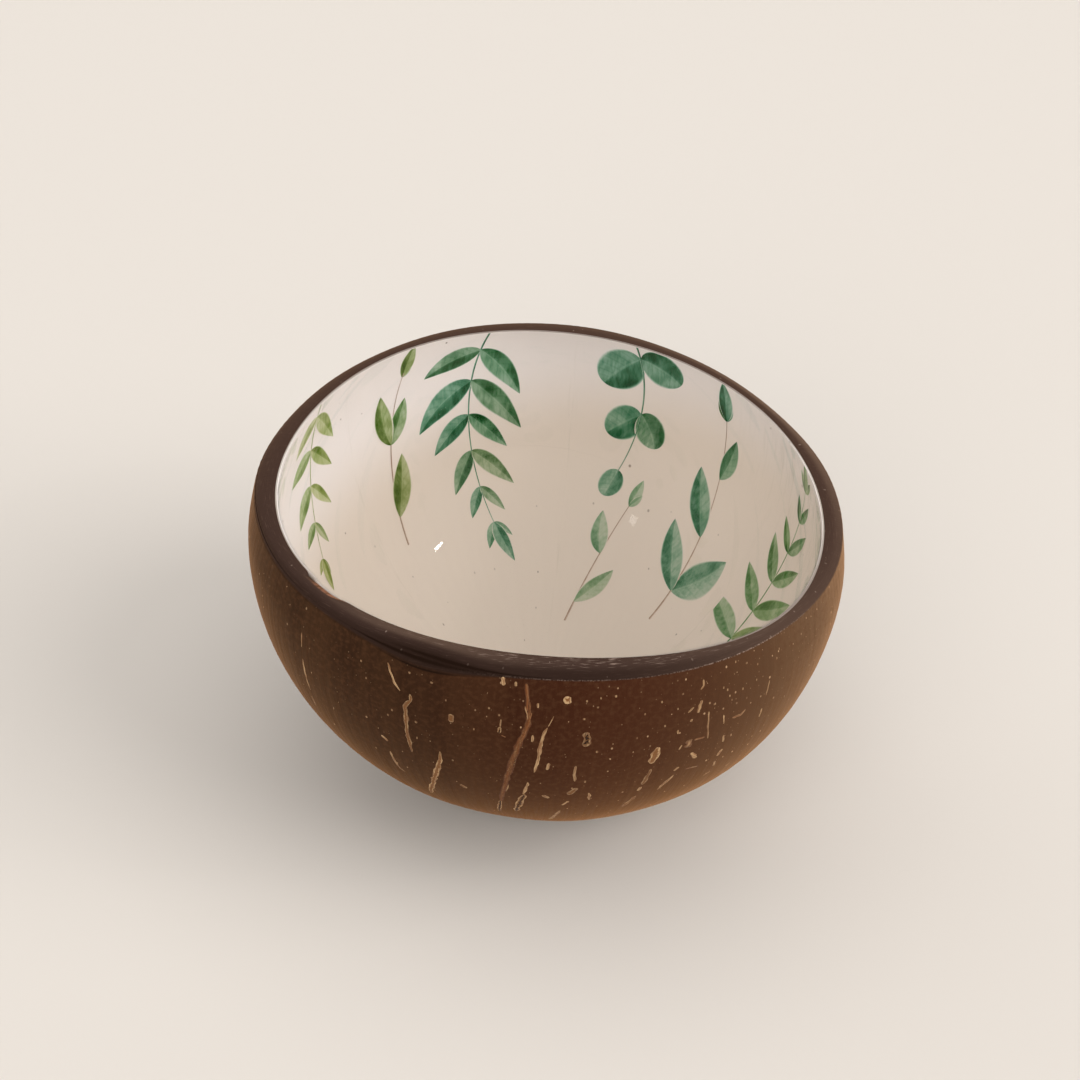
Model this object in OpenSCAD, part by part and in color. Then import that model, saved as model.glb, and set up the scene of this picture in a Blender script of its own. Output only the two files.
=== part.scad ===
// Coconut shell bowl. A half shell is sanded flat at the foot and round at the rim.
// Its inside is coated white, lined with pasted tissue and flooded with clear gloss.
// Z is up and Y points to the back. The origin is on the table, under the foot's middle.

/* [Shell] */
// Mean width across the fullest girth
girth_d = 132; // [115:1:150]
// Height from the table to the top of the rim
bowl_h = 74; // [64:1:86]
// Depth of the fullest girth below the top of the rim
girth_drop = 13; // [6:1:18]
// Width of the flat that is sanded on the foot
foot_d = 40; // [30:1:44]
// Mean wall of the shell at its girth
wall_t = 3.9; // [3:0.1:6]
// Floor of the shell over the sanded foot
floor_t = 2.6; // [1.5:0.1:5]

/* [Natural shape] */
// How far the three ridges stand out from a true round
ridge_swell = 1.65; // [0.5:0.05:2.5]
// Direction of the first ridge, in degrees from the right
ridge_turn = -27; // [-60:1:60]
// How far the round is stretched into an oval
oval_swell = 0.5; // [0.1:0.05:2]
// Direction of the oval's long axis, in degrees from the right
oval_turn = 41; // [0:1:180]
// Drift of the rim's centre to the right of the foot's centre
rim_drift_x = -3.5; // [-5:0.5:5]
// Drift of the rim's centre to the back of the foot's centre
rim_drift_y = 5; // [-6:0.5:6]
// Fullness of the sides, where 2 gives an ellipse and more is squarer
side_power = 2.05; // [1.8:0.05:2.6]
// Fullness of the foot end, in the same way
end_power = 1.9; // [1.6:0.05:2.4]
// How much thicker than the mean the wall is at the front, and thinner at the back
wall_wander = 0.5; // [0:0.05:0.8]
// How far the hollow is drawn in at its right, back, left and front
hollow_swell = 0.55; // [0:0.05:0.8]
// How much more the wall thins at its thinnest place
thin_t = 1.2; // [0:0.1:1.5]
// Direction of that place, in degrees from the right
thin_turn = -41; // [-90:1:90]

/* [Rim] */
// Mean depth of the round-over on the rim's outer edge
round_h = 0.8; // [0.6:0.1:2]
// Unevenness of that depth round the rim
round_wander = 0.5; // [0:0.1:0.5]
// Direction in which the round-over is deepest, in degrees from the right
round_turn = -115; // [-180:1:180]
// Bend of the rim's top, where 1 is a flat bevel and more is a rounder one
crown_power = 2.2; // [1:0.1:4]

/* [Lining] */
// Thickness of the white base coat
base_coat_t = 0.3; // [0.2:0.05:0.6]
// Thickness of the pasted tissue
tissue_t = 0.15; // [0.1:0.05:0.3]
// Thickness of the clear gloss coat on the wall
gloss_t = 0.35; // [0.2:0.05:0.6]
// Thickness of the clear gloss coat where it pools in the bottom
gloss_pool_t = 0.8; // [0.3:0.05:1.5]
// Width of the round tissue piece in the bottom
base_disc_d = 50; // [36:1:64]
// Number of tissue pieces round the wall
gore_count = 6; // [4:1:8]
// Direction of the first seam between them, in degrees from the right
seam_turn = -32; // [-60:1:60]

/* [Hidden] */
girth_r = girth_d / 2;
foot_r = foot_d / 2;
base_disc_r = base_disc_d / 2;
girth_h = bowl_h - girth_drop;

// The unsanded pole lies this far below the girth, so that the foot comes out foot_d wide
pole_reach = girth_h / pow(1 - pow(foot_r / girth_r, side_power), 1 / end_power);

// Each skin is a superellipse: its half width at the girth, its depth below the girth,
// and the share that it has in the unevenness of the hollow
shell_out = [girth_r, pole_reach, 0];
shell_in = [girth_r - wall_t, girth_h - floor_t, 1];
coat_in = shell_in - [base_coat_t, base_coat_t, 0];
tissue_in = coat_in - [tissue_t, tissue_t, 0];
gloss_in = tissue_in - [gloss_t, gloss_pool_t, 0];

// The drift gathers towards the foot by this power of the distance from the rim
drift_power = 1.5;
ridges = 3;
oval_ends = 2;
hollow_sides = 4;
front_turn = -90;

// The thin place dies away to both sides by this power of a cosine
thin_power = 18;

// Facets of the lofts
gore_columns = 9;
columns = gore_count * gore_columns;
girth_rows = 13;
outer_rows = 16;
rim_rows = 4;
disc_rows = 4;
wall_rows = 14;
column_turn = 360 / columns;

gores = [1 : gore_count];

function gore_name(g) = str("tissue_gore_", g);

// Direction of a column of the lofts
function turn_of(column) = seam_turn + column * column_turn;

// Radius in a direction as a multiple of the mean radius
function swell(turn) = 1
    + ridge_swell / girth_r * cos(ridges * (turn - ridge_turn))
    + oval_swell / girth_r * cos(oval_ends * (turn - oval_turn));

// How far the hollow's outline is drawn in from the mean wall in a direction
function uneven(turn) = wall_wander * cos(turn - front_turn)
    + hollow_swell * cos(hollow_sides * turn)
    - thin_t * pow(max(cos(turn - thin_turn), 0), thin_power);

// Centre of the shell at a height
function centre(z) = (1 - pow(max(1 - z / bowl_h, 0), drift_power)) * [rim_drift_x, rim_drift_y];

// Point of the bowl at a mean radius, a height and a direction
function place(r, z, turn) = [
    r * swell(turn) * cos(turn) + centre(z).x,
    r * swell(turn) * sin(turn) + centre(z).y,
    z
];

// A lean is the angle along a skin: -90 at its pole, 0 at the girth, above 0 over it
function skin_r(skin, lean, turn) = (skin[0] - skin[2] * uneven(turn)) * pow(cos(lean), 2 / side_power);
function skin_z(skin, lean) = girth_h + skin[1] * sign(lean) * pow(abs(sin(lean)), 2 / end_power);
function lean_at_z(skin, z) = asin(pow((z - girth_h) / skin[1], end_power / 2));
function lean_at_disc(skin) = -acos(pow(base_disc_r / skin[0], side_power / 2));
function skin_point(skin, lean, turn) = place(skin_r(skin, lean, turn), skin_z(skin, lean), turn);

// Lean of a row of the lining: even steps over the bottom disc, then even steps up to the rim
function row_lean(skin, row) = row <= disc_rows
    ? -90 + (lean_at_disc(skin) + 90) * row / disc_rows
    : lean_at_disc(skin)
        + (lean_at_z(skin, bowl_h) - lean_at_disc(skin)) * (row - disc_rows) / (wall_rows - disc_rows);

function pole(skin) = [skin_point(skin, -90, 0)];
function lining_row(skin, row, from, to) =
    [for (c = [from : to]) skin_point(skin, row_lean(skin, row), turn_of(c))];
function lining_rings(skin, rows) =
    [for (row = [1 : rows]) each lining_row(skin, row, 0, columns - 1)];

// The outer wall, up to the edge where the rim's round-over begins
function round_at(turn) = round_h + round_wander * cos(turn - round_turn);
function edge_lean(turn) = lean_at_z(shell_out, bowl_h - round_at(turn));
function outer_lean(row, turn) = row <= girth_rows
    ? -90 + 90 * row / girth_rows
    : edge_lean(turn) * (row - girth_rows) / (outer_rows - girth_rows);
function outer_rings() = [
    for (row = [1 : outer_rows], c = [0 : columns - 1])
        skin_point(shell_out, outer_lean(row, turn_of(c)), turn_of(c))
];

// The rim's top, from that edge in to the shell's inner edge
function rim_point(out_share, turn) =
    let (edge_r = skin_r(shell_out, edge_lean(turn), turn))
    let (mouth_r = skin_r(shell_in, lean_at_z(shell_in, bowl_h), turn))
    place(
        mouth_r + (edge_r - mouth_r) * out_share,
        bowl_h - round_at(turn) * pow(out_share, crown_power),
        turn
    );
function rim_rings() = [
    for (row = [1 : rim_rows - 1], c = [0 : columns - 1])
        rim_point(1 - row / rim_rows, turn_of(c))
];

// Two triangles of a four-cornered facet, split from its first corner to its third
function facet(a, b, c, d) = [[a, b, c], [a, c, d]];
function at(first, row, column) = first + row * columns + column % columns;

// Facets of a round skin: its pole, then its rings, seen from outside or from inside
function skin_faces(pole_at, rows, outside) = let (first = pole_at + 1) [
    for (c = [0 : columns - 1]) outside
        ? [pole_at, at(first, 0, c), at(first, 0, c + 1)]
        : [pole_at, at(first, 0, c + 1), at(first, 0, c)],
    for (row = [0 : rows - 2], c = [0 : columns - 1])
        let (low = at(first, row, c))
        let (low_next = at(first, row, c + 1))
        let (high = at(first, row + 1, c))
        let (high_next = at(first, row + 1, c + 1))
        each outside ? facet(low, high, high_next, low_next) : facet(low, low_next, high_next, high)
];

// A cup between an outer and an inner skin, closed by a strip round its top edge
module cup(outer_pole, outer, inner_pole, inner) {
    inner_at = 1 + len(outer);
    outer_edge = inner_at - columns;
    inner_edge = inner_at + 1 + len(inner) - columns;
    strip = [
        for (c = [0 : columns - 1]) each facet(
            at(inner_edge, 0, c), at(inner_edge, 0, c + 1), at(outer_edge, 0, c + 1), at(outer_edge, 0, c)
        )
    ];
    polyhedron(
        concat(outer_pole, outer, inner_pole, inner),
        concat(
            skin_faces(0, len(outer) / columns, true),
            skin_faces(inner_at, len(inner) / columns, false),
            strip
        )
    );
}

// A coat that lies between two skins, from the bottom up to a row
module coat(outer_skin, inner_skin, rows) {
    cup(
        pole(outer_skin), lining_rings(outer_skin, rows),
        pole(inner_skin), lining_rings(inner_skin, rows)
    );
}

// The half shell, with its foot sanded flat at the table
module coconut_shell() {
    color("#4b3228")
    difference() {
        cup(
            pole(shell_out), concat(outer_rings(), rim_rings()),
            pole(shell_in), lining_rings(shell_in, wall_rows)
        );
        translate([-girth_r, -girth_r, -girth_d])
            cube(girth_d);
    }
}

// White lacquer on the whole inside of the shell, flush with the rim
module white_base_coat() {
    color("#f2ede4") coat(shell_in, coat_in, wall_rows);
}

// Round piece of tissue in the bottom
module tissue_base_disc() {
    color("#dcd2bf") coat(coat_in, tissue_in, disc_rows);
}

// One piece of tissue on the wall, butted to its neighbours, the bottom disc and the rim
module tissue_gore(g) {
    from = (g - 1) * gore_columns;
    wide = gore_columns + 1;
    tall = wall_rows - disc_rows;
    inner_at = wide * (tall + 1);
    function spot(row, c) = row * wide + c;
    function sheet(skin) =
        [for (row = [disc_rows : wall_rows]) each lining_row(skin, row, from, from + gore_columns)];
    faces_of_sheets = [
        for (row = [0 : tall - 1], c = [0 : gore_columns - 1])
            let (low = spot(row, c))
            let (low_next = spot(row, c + 1))
            let (high = spot(row + 1, c))
            let (high_next = spot(row + 1, c + 1))
            each concat(
                facet(low, high, high_next, low_next),
                facet(inner_at + low, inner_at + low_next, inner_at + high_next, inner_at + high)
            )
    ];
    faces_of_ends = [
        for (c = [0 : gore_columns - 1])
            let (low = spot(0, c))
            let (high = spot(tall, c))
            each concat(
                facet(inner_at + low, low, low + 1, inner_at + low + 1),
                facet(inner_at + high, inner_at + high + 1, high + 1, high)
            )
    ];
    faces_of_seams = [
        for (row = [0 : tall - 1])
            let (left = spot(row, 0))
            let (right = spot(row, gore_columns))
            each concat(
                facet(inner_at + left, inner_at + left + wide, left + wide, left),
                facet(right + wide, inner_at + right + wide, inner_at + right, right)
            )
    ];
    color(g % 2 == 0 ? "#cfd3b8" : "#d9d8c4")
        polyhedron(
            concat(sheet(coat_in), sheet(tissue_in)),
            concat(faces_of_sheets, faces_of_ends, faces_of_seams)
        );
}

// Clear gloss over the tissue, thickest where it pools in the bottom
module clear_gloss_coat() {
    color("#fbf8f0", 0.4) coat(tissue_in, gloss_in, wall_rows);
}

coconut_shell();
white_base_coat();
tissue_base_disc();
for (g = gores) tissue_gore(g);
clear_gloss_coat();
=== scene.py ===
"""Looks of the coconut shell bowl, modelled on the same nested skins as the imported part.

Z is up, X is to the right, Y is to the back, and lengths are in metres. A turn is an angle
round the bowl from the right, and a lean is the angle along a skin: straight down at its
pole, zero at the girth and above zero over it.
"""

import logging
import math
from collections.abc import Callable, Sequence
from dataclasses import dataclass, field
from enum import Enum
from functools import partial, reduce

import bmesh
import bpy
import numpy as np
from mathutils import Matrix, Quaternion, Vector
from numpy.typing import NDArray


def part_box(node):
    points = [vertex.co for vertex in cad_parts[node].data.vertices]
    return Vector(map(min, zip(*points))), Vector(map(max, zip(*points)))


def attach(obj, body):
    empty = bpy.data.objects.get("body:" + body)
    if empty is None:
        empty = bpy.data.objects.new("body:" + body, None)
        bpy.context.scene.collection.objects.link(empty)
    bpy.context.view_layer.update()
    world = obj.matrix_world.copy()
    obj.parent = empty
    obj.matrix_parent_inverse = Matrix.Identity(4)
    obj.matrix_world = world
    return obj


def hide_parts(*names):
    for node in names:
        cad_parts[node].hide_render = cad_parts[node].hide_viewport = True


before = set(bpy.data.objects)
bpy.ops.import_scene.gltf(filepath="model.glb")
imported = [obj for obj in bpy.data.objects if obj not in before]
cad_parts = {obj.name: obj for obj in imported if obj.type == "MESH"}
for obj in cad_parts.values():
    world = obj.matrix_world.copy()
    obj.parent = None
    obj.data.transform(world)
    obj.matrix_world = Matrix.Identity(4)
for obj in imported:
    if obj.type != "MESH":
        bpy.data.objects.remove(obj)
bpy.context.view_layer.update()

LOG = logging.getLogger("coconut_shell_bowl")
BODY = "root"
SKIN_UV = "skin"
FULL_TURN = 2 * math.pi
POLE = -math.pi / 2
TENTHS_IN_METRE = 10000
TINY = 1e-6
SHARP_EDGE = math.radians(50)
SHADED_LIP_TONE = "#8f8177"

Array = NDArray[np.float64]
Pair = tuple[float, float]
Triple = tuple[float, float, float]
Quad = tuple[float, float, float, float]
Pixel = Pair
Piece = bpy.types.Object
Tree = bpy.types.NodeTree
Node = bpy.types.Node
Socket = bpy.types.NodeSocket
Plug = Socket | float | str | tuple[float, ...]


def linear(tone: str) -> Quad:
    """Turns a written screen colour into the linear one that shaders take.

    Args:
        tone: The colour as #rrggbb.

    Returns:
        Linear red, green and blue, then a full alpha.
    """
    shares = [int(tone[i:i + 2], 16) / 255 for i in (1, 3, 5)]
    red, green, blue = (s / 12.92 if s <= 0.04045 else ((s + 0.055) / 1.055) ** 2.4 for s in shares)
    return red, green, blue, 1.0


def smooth_step(value: Array, low: float, high: float) -> Array:
    """Rises smoothly from 0 at low to 1 at high."""
    share = np.clip((value - low) / (high - low), 0.0, 1.0)
    return share * share * (3 - 2 * share)


def there_and_back(value: Array, low: float, high: float, fall: float, end: float) -> Array:
    """Rises smoothly from low to high and falls again from fall to end."""
    return smooth_step(value, low, high) * (1 - smooth_step(value, fall, end))


def round_turns(count: int) -> Array:
    """Directions of evenly spaced columns, from the back round to the back."""
    return np.arange(count) * FULL_TURN / count + math.pi / 2


def turn_between(turn: Array, start: float) -> Array:
    """Angles from one direction to others, half a turn at most either way."""
    return (turn - start + math.pi) % FULL_TURN - math.pi


@dataclass(frozen=True)
class Arc:
    """A soft stretch round the bowl: its middle and its width in degrees, and its strength there."""

    middle: float
    width: float
    strength: float = 1.0

    def at(self, turn: Array) -> Array:
        """Gives the strength in some directions, as a round bump that closes round the bowl."""
        off = turn_between(turn, math.radians(self.middle))
        return self.strength * np.exp(-((off / math.radians(self.width)) ** 2))


def add_up(arcs: Sequence[Arc], turn: Array) -> Array:
    """Adds up the strengths of several arcs."""
    return sum(arc.at(turn) for arc in arcs)


# Form


@dataclass(frozen=True)
class Skin:
    """One of the bowl's nested superellipse skins."""

    half_width: float
    depth: float
    uneven_share: float

    def inset(self, wall: float, floor: float) -> "Skin":
        """Gives the skin that lies inside this one by a wall and a floor."""
        return Skin(self.half_width - wall, self.depth - floor, self.uneven_share)


@dataclass(frozen=True)
class BowlForm:
    """Driving sizes of the bowl and the skins that follow from them."""

    bowl_h: float
    girth_r: float = 0.066
    girth_drop: float = 0.013
    foot_r: float = 0.020
    wall_t: float = 0.0039
    floor_t: float = 0.0026
    ridges: int = 3
    ridge_swell: float = 0.00165
    ridge_turn: float = math.radians(-27)
    oval_sides: int = 2
    oval_swell: float = 0.0005
    oval_turn: float = math.radians(41)
    rim_drift: Pair = (-0.0035, 0.005)
    drift_power: float = 1.5
    side_power: float = 2.05
    end_power: float = 1.9
    wall_wander: float = 0.0005
    hollow_sides: int = 4
    hollow_swell: float = 0.00055
    thin_t: float = 0.0012
    thin_turn: float = math.radians(-41)
    thin_power: float = 18.0
    round_h: float = 0.0008
    round_wander: float = 0.0005
    round_turn: float = math.radians(-115)
    crown_power: float = 2.2
    base_coat_t: float = 0.0003
    tissue_t: float = 0.00015
    gloss_t: float = 0.00035
    gloss_pool_t: float = 0.0008
    base_disc_r: float = 0.025
    gore_count: int = 6
    seam_turn: float = math.radians(-32)

    @property
    def girth_h(self) -> float:
        """Height of the fullest girth."""
        return self.bowl_h - self.girth_drop

    @property
    def gore_turn(self) -> float:
        """Angle that one wall piece of tissue covers."""
        return FULL_TURN / self.gore_count

    @property
    def shell_out(self) -> Skin:
        """Outside of the shell, whose pole is sanded away by the foot."""
        sanded = (self.foot_r / self.girth_r) ** self.side_power
        return Skin(self.girth_r, self.girth_h / (1 - sanded) ** (1 / self.end_power), 0.0)

    @property
    def shell_in(self) -> Skin:
        """Inside of the shell."""
        return Skin(self.girth_r - self.wall_t, self.girth_h - self.floor_t, 1.0)

    @property
    def coat_in(self) -> Skin:
        """Inside of the white base coat."""
        return self.shell_in.inset(self.base_coat_t, self.base_coat_t)

    @property
    def tissue_in(self) -> Skin:
        """Inside of the tissue."""
        return self.coat_in.inset(self.tissue_t, self.tissue_t)

    @property
    def gloss_in(self) -> Skin:
        """Inside of the clear gloss."""
        return self.tissue_in.inset(self.gloss_t, self.gloss_pool_t)

    def swell(self, turn: Array) -> Array:
        """Works out the swell of the plan.

        Args:
            turn: Directions.

        Returns:
            Radii as multiples of the mean radius.
        """
        ridge = self.ridge_swell * np.cos(self.ridges * (turn - self.ridge_turn))
        oval = self.oval_swell * np.cos(self.oval_sides * (turn - self.oval_turn))
        return 1 + (ridge + oval) / self.girth_r

    def uneven(self, turn: Array) -> Array:
        """Works out how far the hollow is drawn in from the mean wall.

        Args:
            turn: Directions.

        Returns:
            Distances, below 0 where the wall is thin.
        """
        thin = self.thin_t * np.maximum(np.cos(turn - self.thin_turn), 0) ** self.thin_power
        hollow = self.hollow_swell * np.cos(self.hollow_sides * turn)
        return self.wall_wander * -np.sin(turn) + hollow - thin

    def drift(self, z: Array) -> Array:
        """How far the bowl's centre has drifted to the left and back at heights, as x and y."""
        share = 1 - np.maximum(1 - z / self.bowl_h, 0) ** self.drift_power
        return share[..., None] * np.array(self.rim_drift)

    def place(self, radius: Array, z: Array, turn: Array) -> Array:
        """Puts mean radii, heights and directions into the bowl's frame.

        Args:
            radius: Mean radii before the swell.
            z: Heights.
            turn: Directions.

        Returns:
            Points, with one more axis than the inputs.
        """
        radius, z, turn = np.broadcast_arrays(radius, z, turn)
        reach = radius * self.swell(turn)
        flat = np.stack([reach * np.cos(turn), reach * np.sin(turn)], -1) + self.drift(z)
        return np.concatenate([flat, z[..., None]], -1)

    def skin_r(self, skin: Skin, lean: Array, turn: Array) -> Array:
        """Mean radius of a skin at a lean and a direction."""
        girth = skin.half_width - skin.uneven_share * self.uneven(turn)
        return girth * np.cos(lean) ** (2 / self.side_power)

    def skin_z(self, skin: Skin, lean: Array) -> Array:
        """Height of a skin at a lean."""
        rise = np.sign(lean) * np.abs(np.sin(lean)) ** (2 / self.end_power)
        return self.girth_h + skin.depth * rise

    def lean_at(self, skin: Skin, z: Array) -> Array:
        """Lean of a skin at a height."""
        rise = np.clip((np.asarray(z) - self.girth_h) / skin.depth, -1, 1)
        return np.sign(rise) * np.arcsin(np.abs(rise) ** (self.end_power / 2))

    def lean_at_disc(self, skin: Skin) -> float:
        """Lean at the edge of the bottom disc of tissue."""
        return -math.acos((self.base_disc_r / skin.half_width) ** (self.side_power / 2))

    def skin_point(self, skin: Skin, lean: Array, turn: Array) -> Array:
        """Points of a skin at leans and directions."""
        return self.place(self.skin_r(skin, lean, turn), self.skin_z(skin, lean), turn)

    def round_at(self, turn: Array) -> Array:
        """Depth of the round-over on the rim's outer edge in a direction."""
        return self.round_h + self.round_wander * np.cos(turn - self.round_turn)


@dataclass(frozen=True)
class Relief:
    """Gentle unevenness of a handmade surface: a seeded sum of waves that closes round the bowl."""

    seed: int
    height: float
    around: tuple[int, int]
    along: float
    waves: int = 28

    def at(self, turn: Array, run: Array) -> Array:
        """Gives the height of the unevenness.

        Args:
            turn: Directions.
            run: Lengths along the skin.

        Returns:
            Heights, about normally spread with the relief's own height as deviation.
        """
        rng = np.random.default_rng(self.seed)
        total = np.zeros(np.broadcast(turn, run).shape)
        for _ in range(self.waves):
            rounds = int(rng.integers(*self.around))
            rise = rng.uniform(-self.along, self.along)
            total += np.cos(rounds * turn + FULL_TURN * rise * run + rng.uniform(0, FULL_TURN))
        return total * self.height * math.sqrt(2 / self.waves)


# Meshes


def corner(start: Array, bend: Array, end: Array, steps: int) -> list[Array]:
    """Rounds a corner of a profile with a quadratic curve.

    Args:
        start: Where the curve leaves the first leg, as radius and height by column.
        bend: The sharp corner.
        end: Where it joins the second leg.
        steps: Number of rows made, both ends included.

    Returns:
        The rows from start to end.
    """
    shares = np.linspace(0, 1, steps)
    return [start * (1 - s) ** 2 + 2 * bend * s * (1 - s) + end * s * s for s in shares]


def grid_faces(rows: int, columns: int, first: int, closed: bool, flip: bool) -> list[list[int]]:
    """Lists the quads of a grid of points.

    Args:
        rows: Rows of points.
        columns: Points in a row.
        first: Index of the first point.
        closed: Whether the last column joins the first.
        flip: Whether the faces look the other way.

    Returns:
        Four point indices for each quad.
    """
    row = np.arange(rows - 1)[:, None] * columns + first
    column = np.arange(columns if closed else columns - 1)[None, :]
    after = (column + 1) % columns
    quads = [row + column, row + after, row + columns + after, row + columns + column]
    if flip:
        quads.reverse()
    return np.stack(quads, -1).reshape(-1, 4).tolist()


def put_in_scene(name: str, data: bpy.types.ID) -> Piece:
    """Makes an object of a mesh, a lamp or a camera.

    Args:
        name: Its name.
        data: The mesh, lamp or camera.

    Returns:
        The object, linked to the scene.
    """
    made = bpy.data.objects.new(name, data)
    bpy.context.scene.collection.objects.link(made)
    return made


@dataclass
class MeshParts:
    """Points, faces and surface coordinates of a mesh that is being put together."""

    points: Array
    faces: list[list[int]]
    skin: Array
    wrap: float = 0.0
    values: dict[str, Array] = field(default_factory=dict)

    def make(self, name: str) -> Piece:
        """Makes the Blender object, smooth shaded, with its coordinates and values.

        Args:
            name: Name of the piece.

        Returns:
            The object, linked to the scene.
        """
        mesh = bpy.data.meshes.new(name)
        mesh.from_pydata(self.points.tolist(), [], self.faces)
        mesh.shade_smooth()
        mesh.set_sharp_from_angle(angle=SHARP_EDGE)
        self._write_skin(mesh)
        for key, value in self.values.items():
            kind, slot = {1: ("FLOAT", "value"), 2: ("FLOAT_VECTOR", "vector")}[value.ndim]
            data = mesh.attributes.new(key, kind, "POINT").data
            data.foreach_set(slot, value.astype(np.float32).ravel())
        mesh.update()
        return put_in_scene(name, mesh)

    def _write_skin(self, mesh: bpy.types.Mesh) -> None:
        """Writes the surface coordinates, unwound where a face crosses the last column.

        Args:
            mesh: The mesh.
        """
        owner = np.zeros(len(mesh.loops), np.int32)
        mesh.loops.foreach_get("vertex_index", owner)
        coords = self.skin[owner].astype(np.float64)
        if self.wrap:
            start = np.zeros(len(mesh.polygons), np.int32)
            mesh.polygons.foreach_get("loop_start", start)
            count = np.diff(np.append(start, len(owner)))
            highest = np.repeat(np.maximum.reduceat(coords[:, 0], start), count)
            coords[highest - coords[:, 0] > self.wrap / 2, 0] += self.wrap
        layer = mesh.uv_layers.new(name=SKIN_UV)
        layer.data.foreach_set("uv", coords.astype(np.float32).ravel())


def cup_parts(outer: Array, inner: Array, turn: Array, scale: float) -> MeshParts:
    """Closes an outer and an inner set of rings into one cup with a pole at each bottom.

    Args:
        outer: Rings of points from the bottom up, row by column.
        inner: Rings of the inside from the bottom up.
        turn: Directions of the columns.
        scale: Radius that turns directions into lengths for the surface coordinates.

    Returns:
        The parts of the mesh.
    """
    columns = len(turn)
    out_rows, in_rows = len(outer), len(inner)
    out_first, in_pole = 1, 1 + out_rows * columns
    in_first = in_pole + 1
    poles = [outer[0].mean(0, keepdims=True), inner[0].mean(0, keepdims=True)]
    points = np.concatenate([poles[0], outer.reshape(-1, 3), poles[1], inner.reshape(-1, 3)])
    faces = grid_faces(out_rows, columns, out_first, True, False)
    faces += grid_faces(in_rows, columns, in_first, True, True)
    out_edge = out_first + (out_rows - 1) * columns
    in_edge = in_first + (in_rows - 1) * columns
    for c in range(columns):
        after = (c + 1) % columns
        faces.append([0, out_first + after, out_first + c])
        faces.append([in_pole, in_first + c, in_first + after])
        faces.append([out_edge + c, out_edge + after, in_edge + after, in_edge + c])
    skin = []
    for rings in (outer, inner):
        steps = np.linalg.norm(np.diff(rings, axis=0), axis=-1)
        start = np.linalg.norm(rings[0] - rings[0].mean(0), axis=-1)
        run = np.concatenate([start[None], start + np.cumsum(steps, 0)])
        flat = np.stack([np.broadcast_to(turn * scale, run.shape), run], -1)
        skin += [np.zeros((1, 2)), flat.reshape(-1, 2)]
    return MeshParts(points, faces, np.concatenate(skin), FULL_TURN * scale)


def patch_parts(outer: Array, inner: Array, skin: Array) -> MeshParts:
    """Closes two grids of points into one thin patch.

    Args:
        outer: Points of the outside, row by column.
        inner: Points of the inside, as many.
        skin: Surface coordinates of the grid.

    Returns:
        The parts of the mesh.
    """
    rows, columns = outer.shape[:2]
    count = rows * columns
    points = np.concatenate([outer.reshape(-1, 3), inner.reshape(-1, 3)])
    faces = grid_faces(rows, columns, 0, False, False)
    faces += grid_faces(rows, columns, count, False, True)
    index = np.arange(count).reshape(rows, columns)
    border = np.concatenate([index[0], index[1:, -1], index[-1, -2::-1], index[-2:0:-1, 0]])
    for here, after in zip(border, np.roll(border, -1)):
        faces.append([int(after), int(here), int(here) + count, int(after) + count])
    flat = skin.reshape(-1, 2)
    return MeshParts(points, faces, np.concatenate([flat, flat]))


# Shaders


@dataclass(frozen=True)
class Pattern:
    """A noise, the noise values that count as none and as full, and how its place is stretched."""

    scale: float
    detail: float
    span: Pair
    stretch: Triple | None = None
    roughness: float = 0.5


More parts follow.
